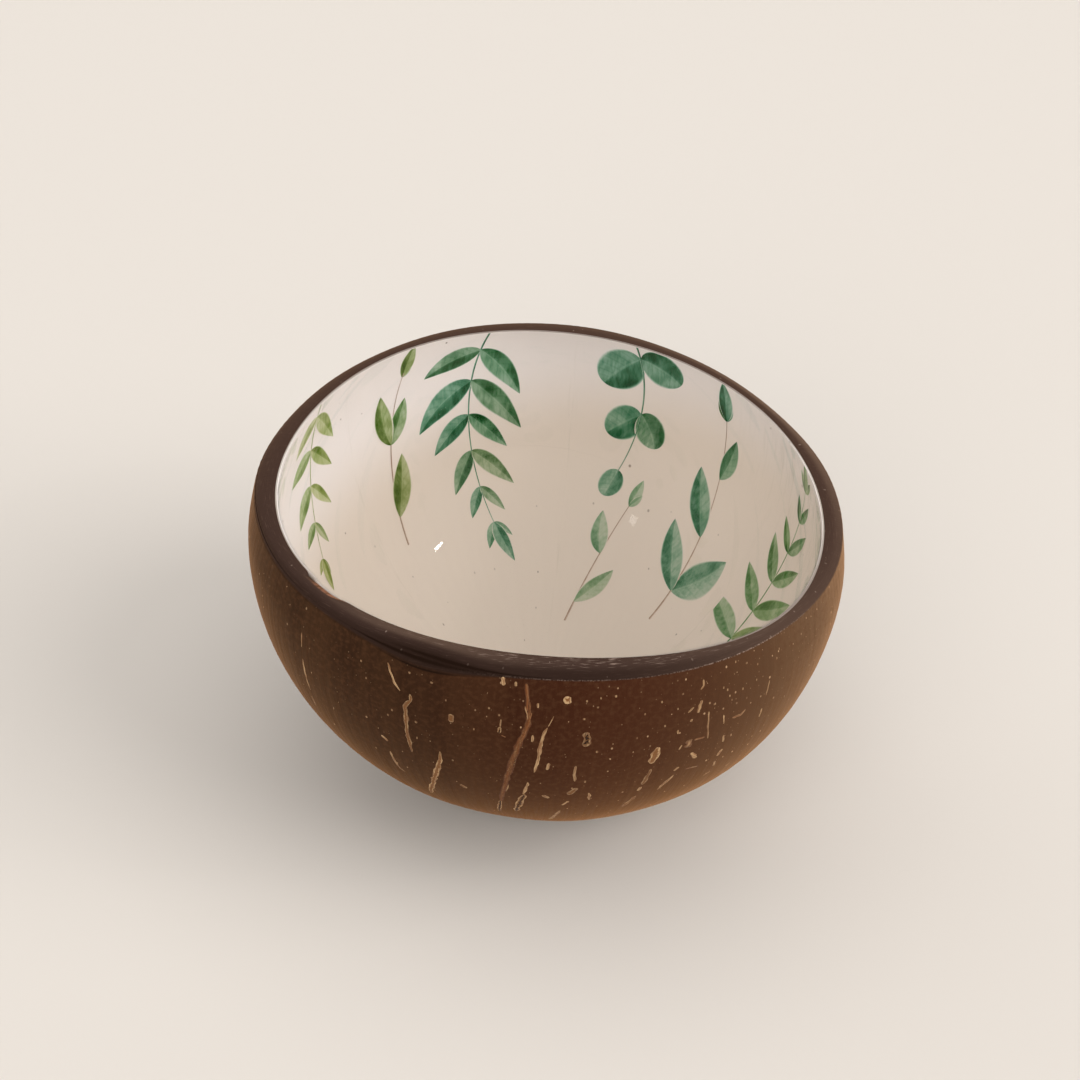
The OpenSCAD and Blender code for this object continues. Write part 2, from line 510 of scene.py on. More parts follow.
class Graph:
    """Short calls that wire up one shader node tree."""

    def __init__(self, tree: Tree) -> None:
        """Keeps the tree that the nodes go into."""
        self.tree = tree

    def node(self, kind: str, plugs: dict[str | int, Plug] | None = None,
             **settings: object) -> Node:
        """Adds a node.

        Args:
            kind: Blender's name for the node, without the word ShaderNode.
            plugs: What goes into its sockets, by name or number.
            settings: Properties of the node.

        Returns:
            The new node.
        """
        node = self.tree.nodes.new("ShaderNode" + kind)
        for key, value in settings.items():
            setattr(node, key, value)
        self.feed(node, plugs or {})
        return node

    def feed(self, node: Node, plugs: dict[str | int, Plug]) -> None:
        """Fills a node's own sockets, by linking another socket or by setting a constant.

        Args:
            node: The node.
            plugs: Sockets, numbers, vectors or written colours, by the name or number of the socket.
        """
        for key, value in plugs.items():
            if isinstance(value, Socket):
                self.tree.links.new(value, node.inputs[key])
            else:
                node.inputs[key].default_value = linear(value) if isinstance(value, str) else value

    def math(self, operation: str, left: Plug, right: Plug = 0.0) -> Socket:
        """Joins two values by an operation."""
        return self.node("Math", {0: left, 1: right}, operation=operation).outputs[0]

    def times(self, *factors: Plug) -> Socket:
        """Multiplies values in turn."""
        return reduce(partial(self.math, "MULTIPLY"), factors)

    def span(self, value: Plug, low: Plug, high: Plug) -> Socket:
        """Maps low to 0 and high to 1, smoothly and within those ends."""
        plugs = {"Value": value, "From Min": low, "From Max": high}
        return self.node("MapRange", plugs, interpolation_type="SMOOTHSTEP").outputs[0]

    def spread(self, value: Plug, low: float, high: float) -> Socket:
        """Maps a share to the values from low to high."""
        return self.node("MapRange", {"Value": value, "To Min": low, "To Max": high}).outputs[0]

    def blend(self, share: Plug, low: Plug, high: Plug, mode: str = "MIX") -> Socket:
        """Blends two colours by a share."""
        plugs = {0: share, 6: low, 7: high}
        return self.node("Mix", plugs, data_type="RGBA", blend_type=mode).outputs[2]

    def layers(self, tone: Plug, *layers: tuple[Plug, Plug]) -> Socket:
        """Lays other tones over a tone in turn, each by its share."""
        return reduce(lambda under, layer: self.blend(layer[0], under, layer[1]), layers, tone)

    def noise(self, place: Plug, scale: float, detail: float, roughness: float = 0.5) -> Socket:
        """A noise value at a place."""
        plugs = {"Vector": place, "Scale": scale, "Detail": detail, "Roughness": roughness}
        return self.node("TexNoise", plugs).outputs["Fac"]

    def pattern(self, pattern: Pattern, place: Plug) -> Socket:
        """A share from 0 to 1 of a noise pattern at a place."""
        drawn = self.scaled(place, pattern.stretch) if pattern.stretch else place
        return self.span(self.noise(drawn, pattern.scale, pattern.detail, pattern.roughness), *pattern.span)

    def scaled(self, place: Plug, scale: Plug) -> Socket:
        """A place stretched along its axes."""
        return self.node("VectorMath", {0: place, 1: scale}, operation="MULTIPLY").outputs[0]

    def value(self, name: str, output: str = "Fac") -> Socket:
        """What the mesh holds at its points, as a number, a vector or a colour."""
        return self.node("Attribute", attribute_name=name).outputs[output]

    def skin(self) -> Socket:
        """The surface coordinates."""
        return self.node("UVMap", uv_map=SKIN_UV).outputs["UV"]

    def place(self) -> Socket:
        """The place in the piece's own frame."""
        return self.node("TexCoord").outputs["Object"]

    def effect(self, effect: "Effect", **plugs: Plug) -> Socket:
        """Places one of the shared effects with its own values."""
        return self.node("Group", plugs, node_tree=effect.group()).outputs[0]

    def bump(self, height: Plug, depth: float) -> Socket:
        """A normal from heights that run from 0 to 1 over a depth."""
        return self.node("Bump", {"Height": height, "Distance": depth}).outputs["Normal"]


class Effect(Enum):
    """The effects that several finishes share, as node groups built once."""

    SPECKS = "scattered_specks"
    RIPPLE = "hand_ripple"
    DEPTH_IN_BOWL = "depth_in_bowl"

    def group(self) -> Tree:
        """Gives the effect's node group, built at its first use.

        Returns:
            The node group.
        """
        known = bpy.data.node_groups.get(self.value)
        if known:
            return known
        tree = bpy.data.node_groups.new(self.value, "ShaderNodeTree")
        {Effect.SPECKS: _specks, Effect.RIPPLE: _ripple, Effect.DEPTH_IN_BOWL: _depth_in_bowl}[self](tree)
        return tree


def _sockets(tree: Tree, inputs: dict[str, float | None],
             output: str) -> tuple[Graph, bpy.types.NodeOutputs, Node]:
    """Gives a group its sockets.

    Args:
        tree: The group.
        inputs: Names of the inputs with their defaults, where None makes a vector.
        output: Name of the value that it puts out.

    Returns:
        A graph on the tree, its inputs by name and its output node.
    """
    for name, start in inputs.items():
        kind = "NodeSocketVector" if start is None else "NodeSocketFloat"
        socket = tree.interface.new_socket(name, in_out="INPUT", socket_type=kind)
        if start is not None:
            socket.default_value = start
    tree.interface.new_socket(output, in_out="OUTPUT", socket_type="NodeSocketFloat")
    return Graph(tree), tree.nodes.new("NodeGroupInput").outputs, tree.nodes.new("NodeGroupOutput")


SPECK_SIZES = (0.25, 1.0)
SPECK_STRENGTHS = (0.35, 1.0)
SPECK_EDGE = (1.0, 0.55)
WAVE_NOISE = (70.0, 1.0)
FOLD_NOISE = (420.0, 2.0)
FOLD_STRETCH = (1.0, 1.0, 0.25)


def _specks(tree: Tree) -> None:
    """Small spots of uneven size in a share of the cells that a surface is divided into.

    Args:
        tree: The group.
    """
    inputs = {"Vector": None, "Scale": 300.0, "Share": 0.5, "Size": 0.16}
    graph, start, end = _sockets(tree, inputs, "Mask")
    plugs = {"Vector": start["Vector"], "Scale": start["Scale"]}
    cells = graph.node("TexVoronoi", plugs, voronoi_dimensions="2D")
    lots = graph.node("SeparateColor", {"Color": cells.outputs["Color"]}).outputs
    present = graph.math("LESS_THAN", lots[0], start["Share"])
    size = graph.times(graph.spread(lots[1], *SPECK_SIZES), start["Size"])
    depth = graph.math("DIVIDE", cells.outputs["Distance"], size)
    shown = graph.times(present, graph.spread(lots[2], *SPECK_STRENGTHS))
    graph.feed(end, {"Mask": graph.times(graph.span(depth, *SPECK_EDGE), shown)})


def _ripple(tree: Tree) -> None:
    """Slow waves of a coat that was laid on by hand, with fine creases.

    Args:
        tree: The group.
    """
    graph, start, end = _sockets(tree, {"Vector": None, "Crease": 0.2}, "Height")
    waves = graph.noise(start["Vector"], *WAVE_NOISE)
    folds = graph.noise(graph.scaled(start["Vector"], FOLD_STRETCH), *FOLD_NOISE)
    graph.feed(end, {"Height": graph.math("ADD", waves, graph.times(folds, start["Crease"]))})


def _depth_in_bowl(tree: Tree) -> None:
    """Share that grows from none near the rim to full low down, and reaches higher up to the right.

    Args:
        tree: The group.
    """
    inputs = {"Vector": None, "Rim": 0.069, "Low": 0.044, "Tilt": 0.2}
    graph, start, end = _sockets(tree, inputs, "Depth")
    place = graph.node("SeparateXYZ", {0: start["Vector"]}).outputs
    height = graph.math("SUBTRACT", place[2], graph.times(place[0], start["Tilt"]))
    graph.feed(end, {"Depth": graph.span(height, start["Rim"], start["Low"])})


# Finishes


class Finish:
    """A finish that is made into a material when it is first used."""

    name: str
    roughness: Pair
    bump_depth: float
    specular: float

    def material(self) -> bpy.types.Material:
        """Gives the finish's material.

        Returns:
            The material, wired at its first use.
        """
        known = bpy.data.materials.get(self.name)
        if known:
            return known
        made = bpy.data.materials.new(self.name)
        made.use_nodes = True
        shader = made.node_tree.nodes["Principled BSDF"]
        self.wire(Graph(made.node_tree), shader)
        return made

    def wire(self, graph: Graph, shader: Node) -> None:
        """Wires the finish, each in its own way."""
        raise NotImplementedError

    def surface(self, graph: Graph, tone: Plug, rough: Plug, height: Plug) -> dict[str, Plug]:
        """Gives what most finishes feed their shader: colour, roughness, bump and mirror.

        Args:
            graph: The material's graph.
            tone: The colour.
            rough: Share of the way from the least roughness to the most.
            height: Height of the bumps from 0 to 1.

        Returns:
            The plugs by the names of the shader's sockets.
        """
        return {
            "Base Color": tone,
            "Roughness": graph.spread(rough, *self.roughness),
            "Normal": graph.bump(height, self.bump_depth),
            "Specular IOR Level": self.specular,
        }


@dataclass(frozen=True)
class VarnishedShell(Finish):
    """Sanded coconut shell under satin varnish, darker and greyer on the cut rim."""

    name: str = "varnished_shell"
    dark: str = "#2d1d13"
    warm: str = "#3d291a"
    red: str = "#3d1d11"
    tan: str = "#b48c68"
    fibre: str = "#523624"
    speck: str = "#c09b77"
    rim: str = "#3e2e28"
    rim_fibre: str = "#5a463d"
    rim_dust_and_sheen: str = "#6d584a"
    shaded_dent: str = "#1d120d"
    raw: str = "#94634e"
    worn: str = "#a38c7e"
    sanded: str = "#6a4c3a"
    sheen: str = "#cc8f52"
    fine_fibres: Pattern = Pattern(1500.0, 4.0, (0.3, 0.7), (1.0, 1.0, 0.08), 0.65)
    broad_bands: Pattern = Pattern(130.0, 3.0, (0.3, 0.7), (1.0, 1.0, 0.08))
    fibre_share: float = 0.14
    mottle: Pattern = Pattern(850.0, 4.0, (0.42, 0.72))
    mottle_share: float = 0.45
    speck_stretch: Triple = (1.0, 0.7, 1.0)
    speck_shares: Pair = (0.03, 0.45)
    dots: Pair = (420.0, 0.12)
    dot_share: float = 0.85
    rim_dot_share: float = 0.55
    dust: Pair = (900.0, 0.15)
    dust_share: float = 0.3
    scratch: Pattern = Pattern(5200.0, 3.0, (0.56, 0.72), (0.06, 1.0, 1.0))
    scratch_share: float = 0.6
    crumb: Pattern = Pattern(2600.0, 3.0, (0.42, 0.62))
    roughness: Pair = (0.4, 0.52)
    pit_share: float = 2.0
    bump_depth: float = 0.000015
    specular: float = 0.02
    sheen_weight: float = 0.55
    sheen_roughness: float = 0.35

    def wall(self, graph: Graph, dots: Socket, dust: Socket, fine: Socket, broad: Socket) -> Socket:
        """Colours the outer wall.

        Args:
            graph: The material's graph.
            dots: Mask of the pale specks.
            dust: Mask of the finest specks.
            fine: Mask of the fine fibres.
            broad: Mask of the broad bands.

        Returns:
            The wall's colour.
        """
        mottle = graph.times(graph.pattern(self.mottle, graph.skin()), self.mottle_share)
        fibres = graph.times(fine, self.fibre_share)
        return graph.layers(
            self.dark,
            (broad, self.warm),
            (graph.value("blush"), self.red),
            # Painted light: the right side of the wall turns a lighter tan where light falls on it.
            (graph.value("painted_light"), self.tan),
            (graph.math("ADD", fibres, mottle), self.fibre),
            (graph.times(dust, self.dust_share), self.speck),
            (graph.times(dots, self.dot_share), self.speck),
        )

    def cut_rim(self, graph: Graph, dots: Socket, scratches: Socket) -> Socket:
        """Colours the cut rim.

        Args:
            graph: The material's graph.
            dots: Mask of the pale specks.
            scratches: Mask of the scratches along the rim.

        Returns:
            The rim's colour.
        """
        scuffs = graph.times(scratches, graph.value("scuff"))
        return graph.layers(
            self.rim,
            (graph.times(scratches, self.scratch_share), self.rim_fibre),
            # Dust and painted sheen make the rim paler here.
            (graph.value("dust_and_sheen"), self.rim_dust_and_sheen),
            (graph.math("MAXIMUM", scuffs, graph.times(dots, self.rim_dot_share)), self.worn),
        )

    def wire(self, graph: Graph, shader: Node) -> None:
        """Wires the finish into the shader.

        Args:
            graph: The material's graph.
            shader: Its shader.
        """
        skin = graph.skin()
        fine, broad = (graph.pattern(pattern, graph.value("grain", "Vector"))
                       for pattern in (self.fine_fibres, self.broad_bands))
        drawn = graph.scaled(skin, self.speck_stretch)
        share = graph.spread(graph.value("dotted"), *self.speck_shares)
        dots, dust = (
            graph.effect(Effect.SPECKS, Vector=drawn, Scale=scale, Share=share, Size=size)
            for scale, size in (self.dots, self.dust)
        )
        scratches = graph.pattern(self.scratch, skin)
        tone = graph.layers(
            self.wall(graph, dots, dust, fine, broad),
            (graph.value("rim"), self.cut_rim(graph, dots, scratches)),
            # Painted shade: the grooves, the soft bevel and a band under the front of the rim are darkened.
            (graph.value("shaded_dent"), self.shaded_dent),
            (graph.value("foot"), self.sanded),
            (graph.times(graph.value("wear"), graph.pattern(self.crumb, skin)), self.worn),
            (graph.value("raw"), graph.blend(fine, self.raw, self.fibre)),
        )
        gloss = graph.blend(graph.value("rim"), fine, scratches)
        pits = graph.math("SUBTRACT", fine, graph.times(dots, self.pit_share))
        graph.feed(shader, self.surface(graph, tone, gloss, pits))
        graph.feed(shader, {"Specular Tint": self.sheen, "Sheen Tint": self.sheen,
                            "Sheen Weight": self.sheen_weight, "Sheen Roughness": self.sheen_roughness})


@dataclass(frozen=True)
class HuskFibre(Finish):
    """Pale husk fibre left in the shell's grooves, browner and pitted in the middle."""

    name: str = "husk_fibre"
    pale: str = "#8a6344"
    straw: str = "#bf9c73"
    core: str = "#7d5431"
    pit: str = "#2b1a10"
    rust: str = "#8a5027"
    stain: str = "#46291b"
    strand: Pattern = Pattern(2900.0, 3.0, (0.36, 0.62), (1.0, 0.12, 1.0))
    patch_noise: Pair = (1500.0, 2.0)
    hole_noise: Pair = (2300.0, 2.0)
    noise_middle: float = 0.5
    hole_swing: float = 2.6
    hollow_span: Pair = (0.58, 0.3)
    pit_span: Pair = (0.36, 0.14)
    rust_shares: Pair = (1.0, 0.66)
    fade_shares: Pair = (0.5, 1.3)
    border_fade: Pair = (0.35, 1.7)
    roughness: Pair = (0.5, 0.65)
    bump_depth: float = 0.00006
    specular: float = 0.1

    def wire(self, graph: Graph, shader: Node) -> None:
        """Wires the finish into the shader.

        Args:
            graph: The material's graph.
            shader: Its shader.
        """
        skin, border = graph.skin(), graph.value("border")
        strands = graph.pattern(self.strand, skin)
        patch = graph.noise(skin, *self.patch_noise)
        depth = graph.math("ADD", border, graph.math("SUBTRACT", patch, self.noise_middle))
        hollow = graph.times(graph.span(depth, *self.hollow_span), graph.value("hollow"))
        holes = graph.math("SUBTRACT", graph.noise(skin, *self.hole_noise), self.noise_middle)
        holes = graph.math("ADD", border, graph.times(holes, self.hole_swing))
        pitted = graph.times(graph.span(holes, *self.pit_span), graph.value("pit"))
        faded = graph.times(graph.value("faded"), graph.spread(patch, *self.fade_shares),
                            graph.spread(border, *self.border_fade))
        tone = graph.layers(
            self.pale,
            (strands, self.straw),
            (graph.times(graph.value("rust"), graph.spread(strands, *self.rust_shares)), self.rust),
            (hollow, self.core),
            (faded, self.stain),
            (pitted, self.pit),
        )
        pits = graph.math("SUBTRACT", strands, graph.math("ADD", hollow, pitted))
        graph.feed(shader, self.surface(graph, tone, strands, pits))


@dataclass(frozen=True)
class WhiteLacquer(Finish):
    """Warm white lacquer brushed over the inside."""

    name: str = "brushed_lacquer"
    tone: str = "#bfb5aa"
    thin: str = "#b0a497"
    lip_shade: str = SHADED_LIP_TONE
    crease: float = 0.4
    thin_span: Pair = (0.45, 0.85)
    roughness: Pair = (0.3, 0.45)
    bump_depth: float = 0.00004
    specular: float = 0.2

    def wire(self, graph: Graph, shader: Node) -> None:
        """Wires the finish into the shader.

        Args:
            graph: The material's graph.
            shader: Its shader.
        """
        ripple = graph.effect(Effect.RIPPLE, Vector=graph.place(), Crease=self.crease)
        share = graph.span(ripple, *self.thin_span)
        # Painted shade on the coat's top edge, except at the left and the right.
        tone = graph.layers(self.tone, (share, self.thin), (graph.value("lip"), self.lip_shade))
        graph.feed(shader, self.surface(graph, tone, share, ripple))


@dataclass(frozen=True)
class PastedTissue(Finish):
    """Thin cream tissue soaked in varnish, with faint creases, a few dark specks, painted shade along the
    creases, and painted shade low down and to the right.
    """

    name: str = "pasted_tissue"
    paper: str = "#f6ece6"
    low_shade: str = "#e4d4c4"
    speck: str = "#7f6a58"
    crease_shade: str = "#b6ad93"
    lip_shade: str = SHADED_LIP_TONE
    crease: float = 0.5
    speck_scale: float = 110.0
    speck_count: float = 0.2
    speck_size: float = 0.055
    speck_share: float = 0.8
    fold_lines: Pattern = Pattern(1500.0, 3.0, (0.5, 0.68), (1.0, 0.05, 1.0))
    fold_share: float = 0.3
    rough_span: Pair = (0.5, 1.0)
    roughness: Pair = (0.5, 0.65)
    bump_depth: float = 0.00008
    specular: float = 0.0

    def tone(self, graph: Graph) -> Socket:
        """Colours the bare paper, with painted shade that makes it darker and warmer low down and to the
        right.
        """
        painted_shade_share = graph.effect(Effect.DEPTH_IN_BOWL, Vector=graph.place())
        return graph.blend(painted_shade_share, self.paper, self.low_shade)

    def wire(self, graph: Graph, shader: Node) -> None:
        """Wires the finish into the shader.

        Args:
            graph: The material's graph.
            shader: Its shader.
        """
        skin = graph.skin()
        ripple = graph.effect(Effect.RIPPLE, Vector=graph.place(), Crease=self.crease)
        specks = graph.effect(Effect.SPECKS, Vector=skin, Scale=self.speck_scale,
                              Share=self.speck_count, Size=self.speck_size)
        folds = graph.times(graph.pattern(self.fold_lines, skin), graph.value("creased"))
        tone = graph.layers(
            self.tone(graph),
            # Painted shade along the creases, which are also bumped.
            (graph.times(folds, self.fold_share), self.crease_shade),
            (graph.times(specks, self.speck_share), self.speck),
            # Painted shade on the tissue's top edge, except at the left and the right.
            (graph.value("lip"), self.lip_shade),
        )
        rough, height = graph.span(ripple, *self.rough_span), graph.math("ADD", ripple, folds)
        graph.feed(shader, self.surface(graph, tone, rough, height))


@dataclass(frozen=True)
class LeafInk(Finish):
    """Green ink washed over the paper: one half of each leaf deeper, and thin at its border."""

    name: str = "leaf_ink"
    sheet: PastedTissue = PastedTissue()
    closer: Triple = (3.0, 3.0, 3.0)
    crease: float = 0.6
    half_span: Pair = (-0.2, 0.35)
    half_wash: Pair = (0.62, 1.25)
    run_span: Pair = (0.45, 1.05)
    run_wash: Pair = (1.25, 0.6)
    tip_wash: Pair = (1.25, 0.8)
    rib_slant: float = 0.12
    rib_pace: float = 62.0
    rib_span: Pair = (0.55, 1.0)
    rib_wash: float = 0.08
    vein_span: Pair = (0.02, 0.1)
    vein_wash: Pair = (0.75, 1.0)
    border_span: Pair = (1.0, 0.8)
    sunk_rim: float = 0.055
    sunk_low: float = 0.015
    sunk_wash: Pair = (1.0, 0.6)
    roughness: Pair = (0.5, 0.65)
    bump_depth: float = 0.00002
    specular: float = 0.0

    def density(self, graph: Graph, ripple: Socket) -> Socket:
        """Works out how deep the wash of ink is.

        Args:
            graph: The material's graph.
            ripple: Height of the paper's waves, in which the ink runs.

        Returns:
            The depth, 1 where it has the pigment's own tone.
        """
        along, across = graph.node("SeparateXYZ", {0: graph.skin()}).outputs[:2]
        width = graph.math("ABSOLUTE", across)
        wash = graph.times(
            graph.spread(graph.span(across, *self.half_span), *self.half_wash),
            graph.spread(graph.span(ripple, *self.run_span), *self.run_wash),
            graph.spread(along, *self.tip_wash),
        )
        slant = graph.math("SUBTRACT", along, graph.times(width, self.rib_slant))
        ribs = graph.span(graph.math("SINE", graph.times(slant, self.rib_pace)), *self.rib_span)
        wash = graph.math("ADD", wash, graph.times(ribs, self.rib_wash))
        sunk = graph.effect(Effect.DEPTH_IN_BOWL, Vector=graph.place(), Rim=self.sunk_rim, Low=self.sunk_low)
        return graph.times(
            wash,
            graph.spread(graph.span(width, *self.vein_span), *self.vein_wash),
            graph.span(width, *self.border_span),
            graph.spread(sunk, *self.sunk_wash),
        )

    def wire(self, graph: Graph, shader: Node) -> None:
        """Wires the finish into the shader.

        Args:
            graph: The material's graph.
            shader: Its shader.
        """
        close = graph.scaled(graph.place(), self.closer)
        ripple = graph.effect(Effect.RIPPLE, Vector=close, Crease=self.crease)
        wash = {"Color": graph.value("ink", "Color"), "Gamma": self.density(graph, ripple)}
        ink = graph.node("Gamma", wash).outputs[0]
        # The paper tone under the ink carries the tissue's painted shade low down and to the right.
        tone = graph.blend(1.0, self.sheet.tone(graph), ink, "MULTIPLY")
        graph.feed(shader, self.surface(graph, tone, graph.span(ripple, *self.run_span), ripple))


@dataclass(frozen=True)
class ClearGloss(Finish):
    """Clear poured coat: it only adds the mirror of its top face to what lies under it."""

    name: str = "poured_gloss"
    tone: str = "#fdfaf4"
    ior: float = 1.4
    crease: float = 0.05
    mirror_roughness: float = 0.025
    bump_depth: float = 0.00003

    def wire(self, graph: Graph, shader: Node) -> None:
        """Wires the finish into the shader.

        Args:
            graph: The material's graph.
            shader: Its shader.
        """
        ripple = graph.effect(Effect.RIPPLE, Vector=graph.place(), Crease=self.crease)
        normal = graph.bump(ripple, self.bump_depth)
        mirror = graph.node("Fresnel", {"IOR": self.ior, "Normal": normal}).outputs[0]
        top = graph.math("SUBTRACT", 1.0, graph.node("NewGeometry").outputs["Backfacing"])
        graph.feed(shader, {
            "Alpha": graph.times(mirror, top),
            "Normal": normal,
            "Base Color": self.tone,
            "Metallic": 1.0,
            "Roughness": self.mirror_roughness,
        })


@dataclass(frozen=True)
class StudioFloor(Finish):
    """Plain matt floor."""

    name: str = "studio_floor"
    tone: str = "#dcd4cb"

    def wire(self, graph: Graph, shader: Node) -> None:
        """Wires the plain finish."""
        graph.feed(shader, {"Base Color": self.tone, "Roughness": 1.0, "Specular IOR Level": 0.0})


def fit_piece(piece: Piece, finish: Finish, slot: str, *nodes: str) -> None:
    """Dresses a piece and fixes it to the part.

    Args:
        piece: The piece.
        finish: Its finish.
        slot: Name of a material slot; not used.
        nodes: The nodes that it stands for.
    """
    piece.data.materials.append(finish.material())
    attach(piece, BODY)
    if nodes:
        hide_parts(*nodes)
    LOG.info("%s: %d faces", piece.name, len(piece.data.polygons))


# Camera


@dataclass(frozen=True)
class PhotoView:
    """The photograph's camera, which also finds where one of its pixels lies on the bowl."""

    aim: Triple = (-0.00492, 0.005, 0.05599)
    distance: float = 0.370
    elevation: float = math.radians(38.90)
    roll: float = math.radians(6.22)
    focal_px: float = 1614.2
    frame_px: float = 1080.0
    sensor_mm: float = 36.0
    near_share: float = 0.02
    search: float = 0.12
    search_steps: int = 4000

    def axes(self) -> Array:
        """Works out the camera's directions.

        Returns:
            Right, up and forward as rows.
        """
        forward = np.array([0.0, math.cos(self.elevation), -math.sin(self.elevation)])
        right = np.array([1.0, 0.0, 0.0])
        up = np.cross(right, forward)
        cosine, sine = math.cos(self.roll), math.sin(self.roll)
        return np.stack([cosine * right + sine * up, cosine * up - sine * right, forward])

    def eye(self) -> Array:
        """Gives where the camera stands."""
        return np.array(self.aim) - self.distance * self.axes()[2]

    def ray(self, pixel: Pixel) -> Array:
        """Works out where a pixel looks.

        Args:
            pixel: The pixel of the photograph.

        Returns:
            The unit direction.
        """
        middle = self.frame_px / 2
        shares = np.array([pixel[0] - middle, middle - pixel[1], self.focal_px]) / self.focal_px
        direction = shares @ self.axes()
        return direction / np.linalg.norm(direction)

    def hit(self, pixel: Pixel, outside: Callable[[Array], Array]) -> Array:
        """Finds the first point on a pixel's ray that isn't outside a solid.

        Args:
            pixel: The pixel of the photograph.
            outside: Gives a positive number for each point outside the solid.

        Returns:
            The point.
        """
        reach = np.linspace(self.distance - self.search, self.distance + self.search, self.search_steps)
        points = self.eye() + reach[:, None] * self.ray(pixel)
        return points[int(np.argmax(outside(points) <= 0))]

    def on_level(self, pixel: Pixel, z: float) -> Array:
        """Finds where a pixel's ray meets a level plane."""
        ray = self.ray(pixel)
        return self.eye() + ray * (z - self.eye()[2]) / ray[2]

    def build(self) -> None:
        """Makes the camera and gives it to the scene."""
        lens = bpy.data.cameras.new("photo_view")
        lens.sensor_width = self.sensor_mm
        lens.lens = self.focal_px / self.frame_px * self.sensor_mm
        lens.clip_start = self.distance * self.near_share
        camera = put_in_scene("photo_view", lens)
        right, up, forward = self.axes()
        turn = Matrix((right, up, -forward)).transposed().to_4x4()
        camera.matrix_world = Matrix.Translation(Vector(self.eye())) @ turn
        bpy.context.scene.camera = camera


# Shell


@dataclass(frozen=True)
class Groove:
    """A sanding mark along the rim's round edge, dented and darkened with painted shade: how far up the
    round it lies, and where it runs.
    """

    share: float
    arc: Arc


@dataclass(frozen=True)
class Chip:
    """A splinter broken from the inner edge of the rim, placed by two pixels of the photograph.

    Pairs are stretches of the way from the first pixel to the second, or of the depth of the break.
    """

    start: Pixel = (305.0, 573.0)
    end: Pixel = (352.0, 606.0)
    width: float = 0.0013
    depth: float = 0.0008
    reach: float = 2.0
    opens: Pair = (-0.03, 0.03)
    closes: Pair = (0.55, 1.0)
    least: float = 0.02
    bare_depth: Pair = (0.02, 0.2)
    bare_from: Pair = (0.1, 0.35)
    coat_opens: Pair = (0.12, 0.24)
    coat_closes: Pair = (0.7, 1.0)


@dataclass(frozen=True)
class Weathering:
    """Where the shell's outside is worn, scratched, reddish or dotted, where dust and painted sheen make
    the rim paler, where painted shade darkens its dents, and where painted light makes its right side
    paler.

    A band is a stretch of the zones that Shell.profile counts, over which a mark comes or goes.
    """

    rim_band: Pair = (0.0, 0.25)
    rim_delay: float = 0.3
    scuff: Arc = Arc(-82, 26)
    scuff_band: Pair = (0.25, 0.7)
    wear: tuple[Arc, ...] = (Arc(-50, 14), Arc(-82, 12, 0.35))
    wear_zone: float = 0.4
    wear_width: float = 0.14
    wear_most: float = 0.8
    grooves: tuple[Groove, ...] = (
        Groove(0.07, Arc(-109.5, 7)),
        Groove(0.46, Arc(-113, 8.5)),
        Groove(0.70, Arc(-100, 10)),
        Groove(0.50, Arc(-163, 22)),
    )
    groove_width: float = 0.05
    # Painted shade: the soft bevel and a band under the front of the rim are darkened, in the same mask as
    # the grooves.
    bevel_bands: Quad = (0.0, 0.2, 0.7, 1.1)
    bevel_share: float = 0.5
    shade: Arc = Arc(-84, 36)
    shade_bands: Quad = (0.0, 0.5, 1.15, 1.7)
    shade_share: float = 0.6
    # Dust and painted sheen that make the rim paler: at the right front, down the outer slope at the right
    # back and on top at the front left.
    dust: Arc = Arc(-44, 22, 0.3)
    dust_and_sheen_slope: Arc = Arc(35, 38)
    slope_band: Pair = (0.35, 0.9)
    slope_share: float = 0.7
    dust_and_sheen_left: Arc = Arc(-112, 20)
    left_band: Pair = (0.1, 0.5)
    left_share: float = 0.4
    foot: float = 0.8
    blush: Arc = Arc(-74, 30, 0.85)
    # Painted light: the right side of the wall is made paler where light falls on it.
    painted_light: Arc = Arc(-2, 40, 0.35)
    dots: tuple[Arc, ...] = (Arc(-20, 40, 0.7), Arc(110, 60, 0.3))
    plain_dots: float = 0.2

    def marks(self, turn: Array, zone: Array, crisp: Array) -> dict[str, Array]:
        """Works out the values that the finish reads on the outside.

        Args:
            turn: Directions of the columns.
            zone: Zone of each row, as a column.
            crisp: How crisp the rim's edge is in each direction, up to 1.

        Returns:
            A value for each row and column, by name.
        """
        rounding, top = np.clip(zone, 0, 1), np.clip(zone - 1, 0, 1)
        sanded = sum(np.exp(-(((rounding - shaded_dent.share) / self.groove_width) ** 2)) * shaded_dent.arc.at(turn)
                     for shaded_dent in self.grooves)
        # Painted shade on the soft bevel and in a band under the front of the rim, added to the grooves'
        # mask, which also dents the surface.
        bevel = (1 - crisp) * there_and_back(zone, *self.bevel_bands)
        shade = self.shade.at(turn) * there_and_back(zone, *self.shade_bands)
        slope = smooth_step(1 - top, *self.slope_band) * self.dust_and_sheen_slope.at(turn)
        left = self.left_share * smooth_step(top, *self.left_band) * self.dust_and_sheen_left.at(turn)
        worn = np.exp(-(((rounding - self.wear_zone) / self.wear_width) ** 2))
        marks = {
            "rim": smooth_step(rounding - self.rim_delay * crisp, *self.rim_band),
            "wear": self.wear_most * worn * add_up(self.wear, turn),
            "scuff": smooth_step(top, *self.scuff_band) * self.scuff.at(turn),
            "shaded_dent": np.minimum(sanded + self.bevel_share * bevel + self.shade_share * shade, 1.0),
            "dust_and_sheen": self.dust.at(turn) + self.slope_share * slope + left,
            "foot": np.where(zone < 0, self.foot, 0.0),
            "blush": self.blush.at(turn),
            # Painted light on the right side of the wall.
            "painted_light": self.painted_light.at(turn),
            "dotted": self.plain_dots + add_up(self.dots, turn),
        }
        return {key: np.broadcast_to(mark, (len(zone), len(turn))) for key, mark in marks.items()}


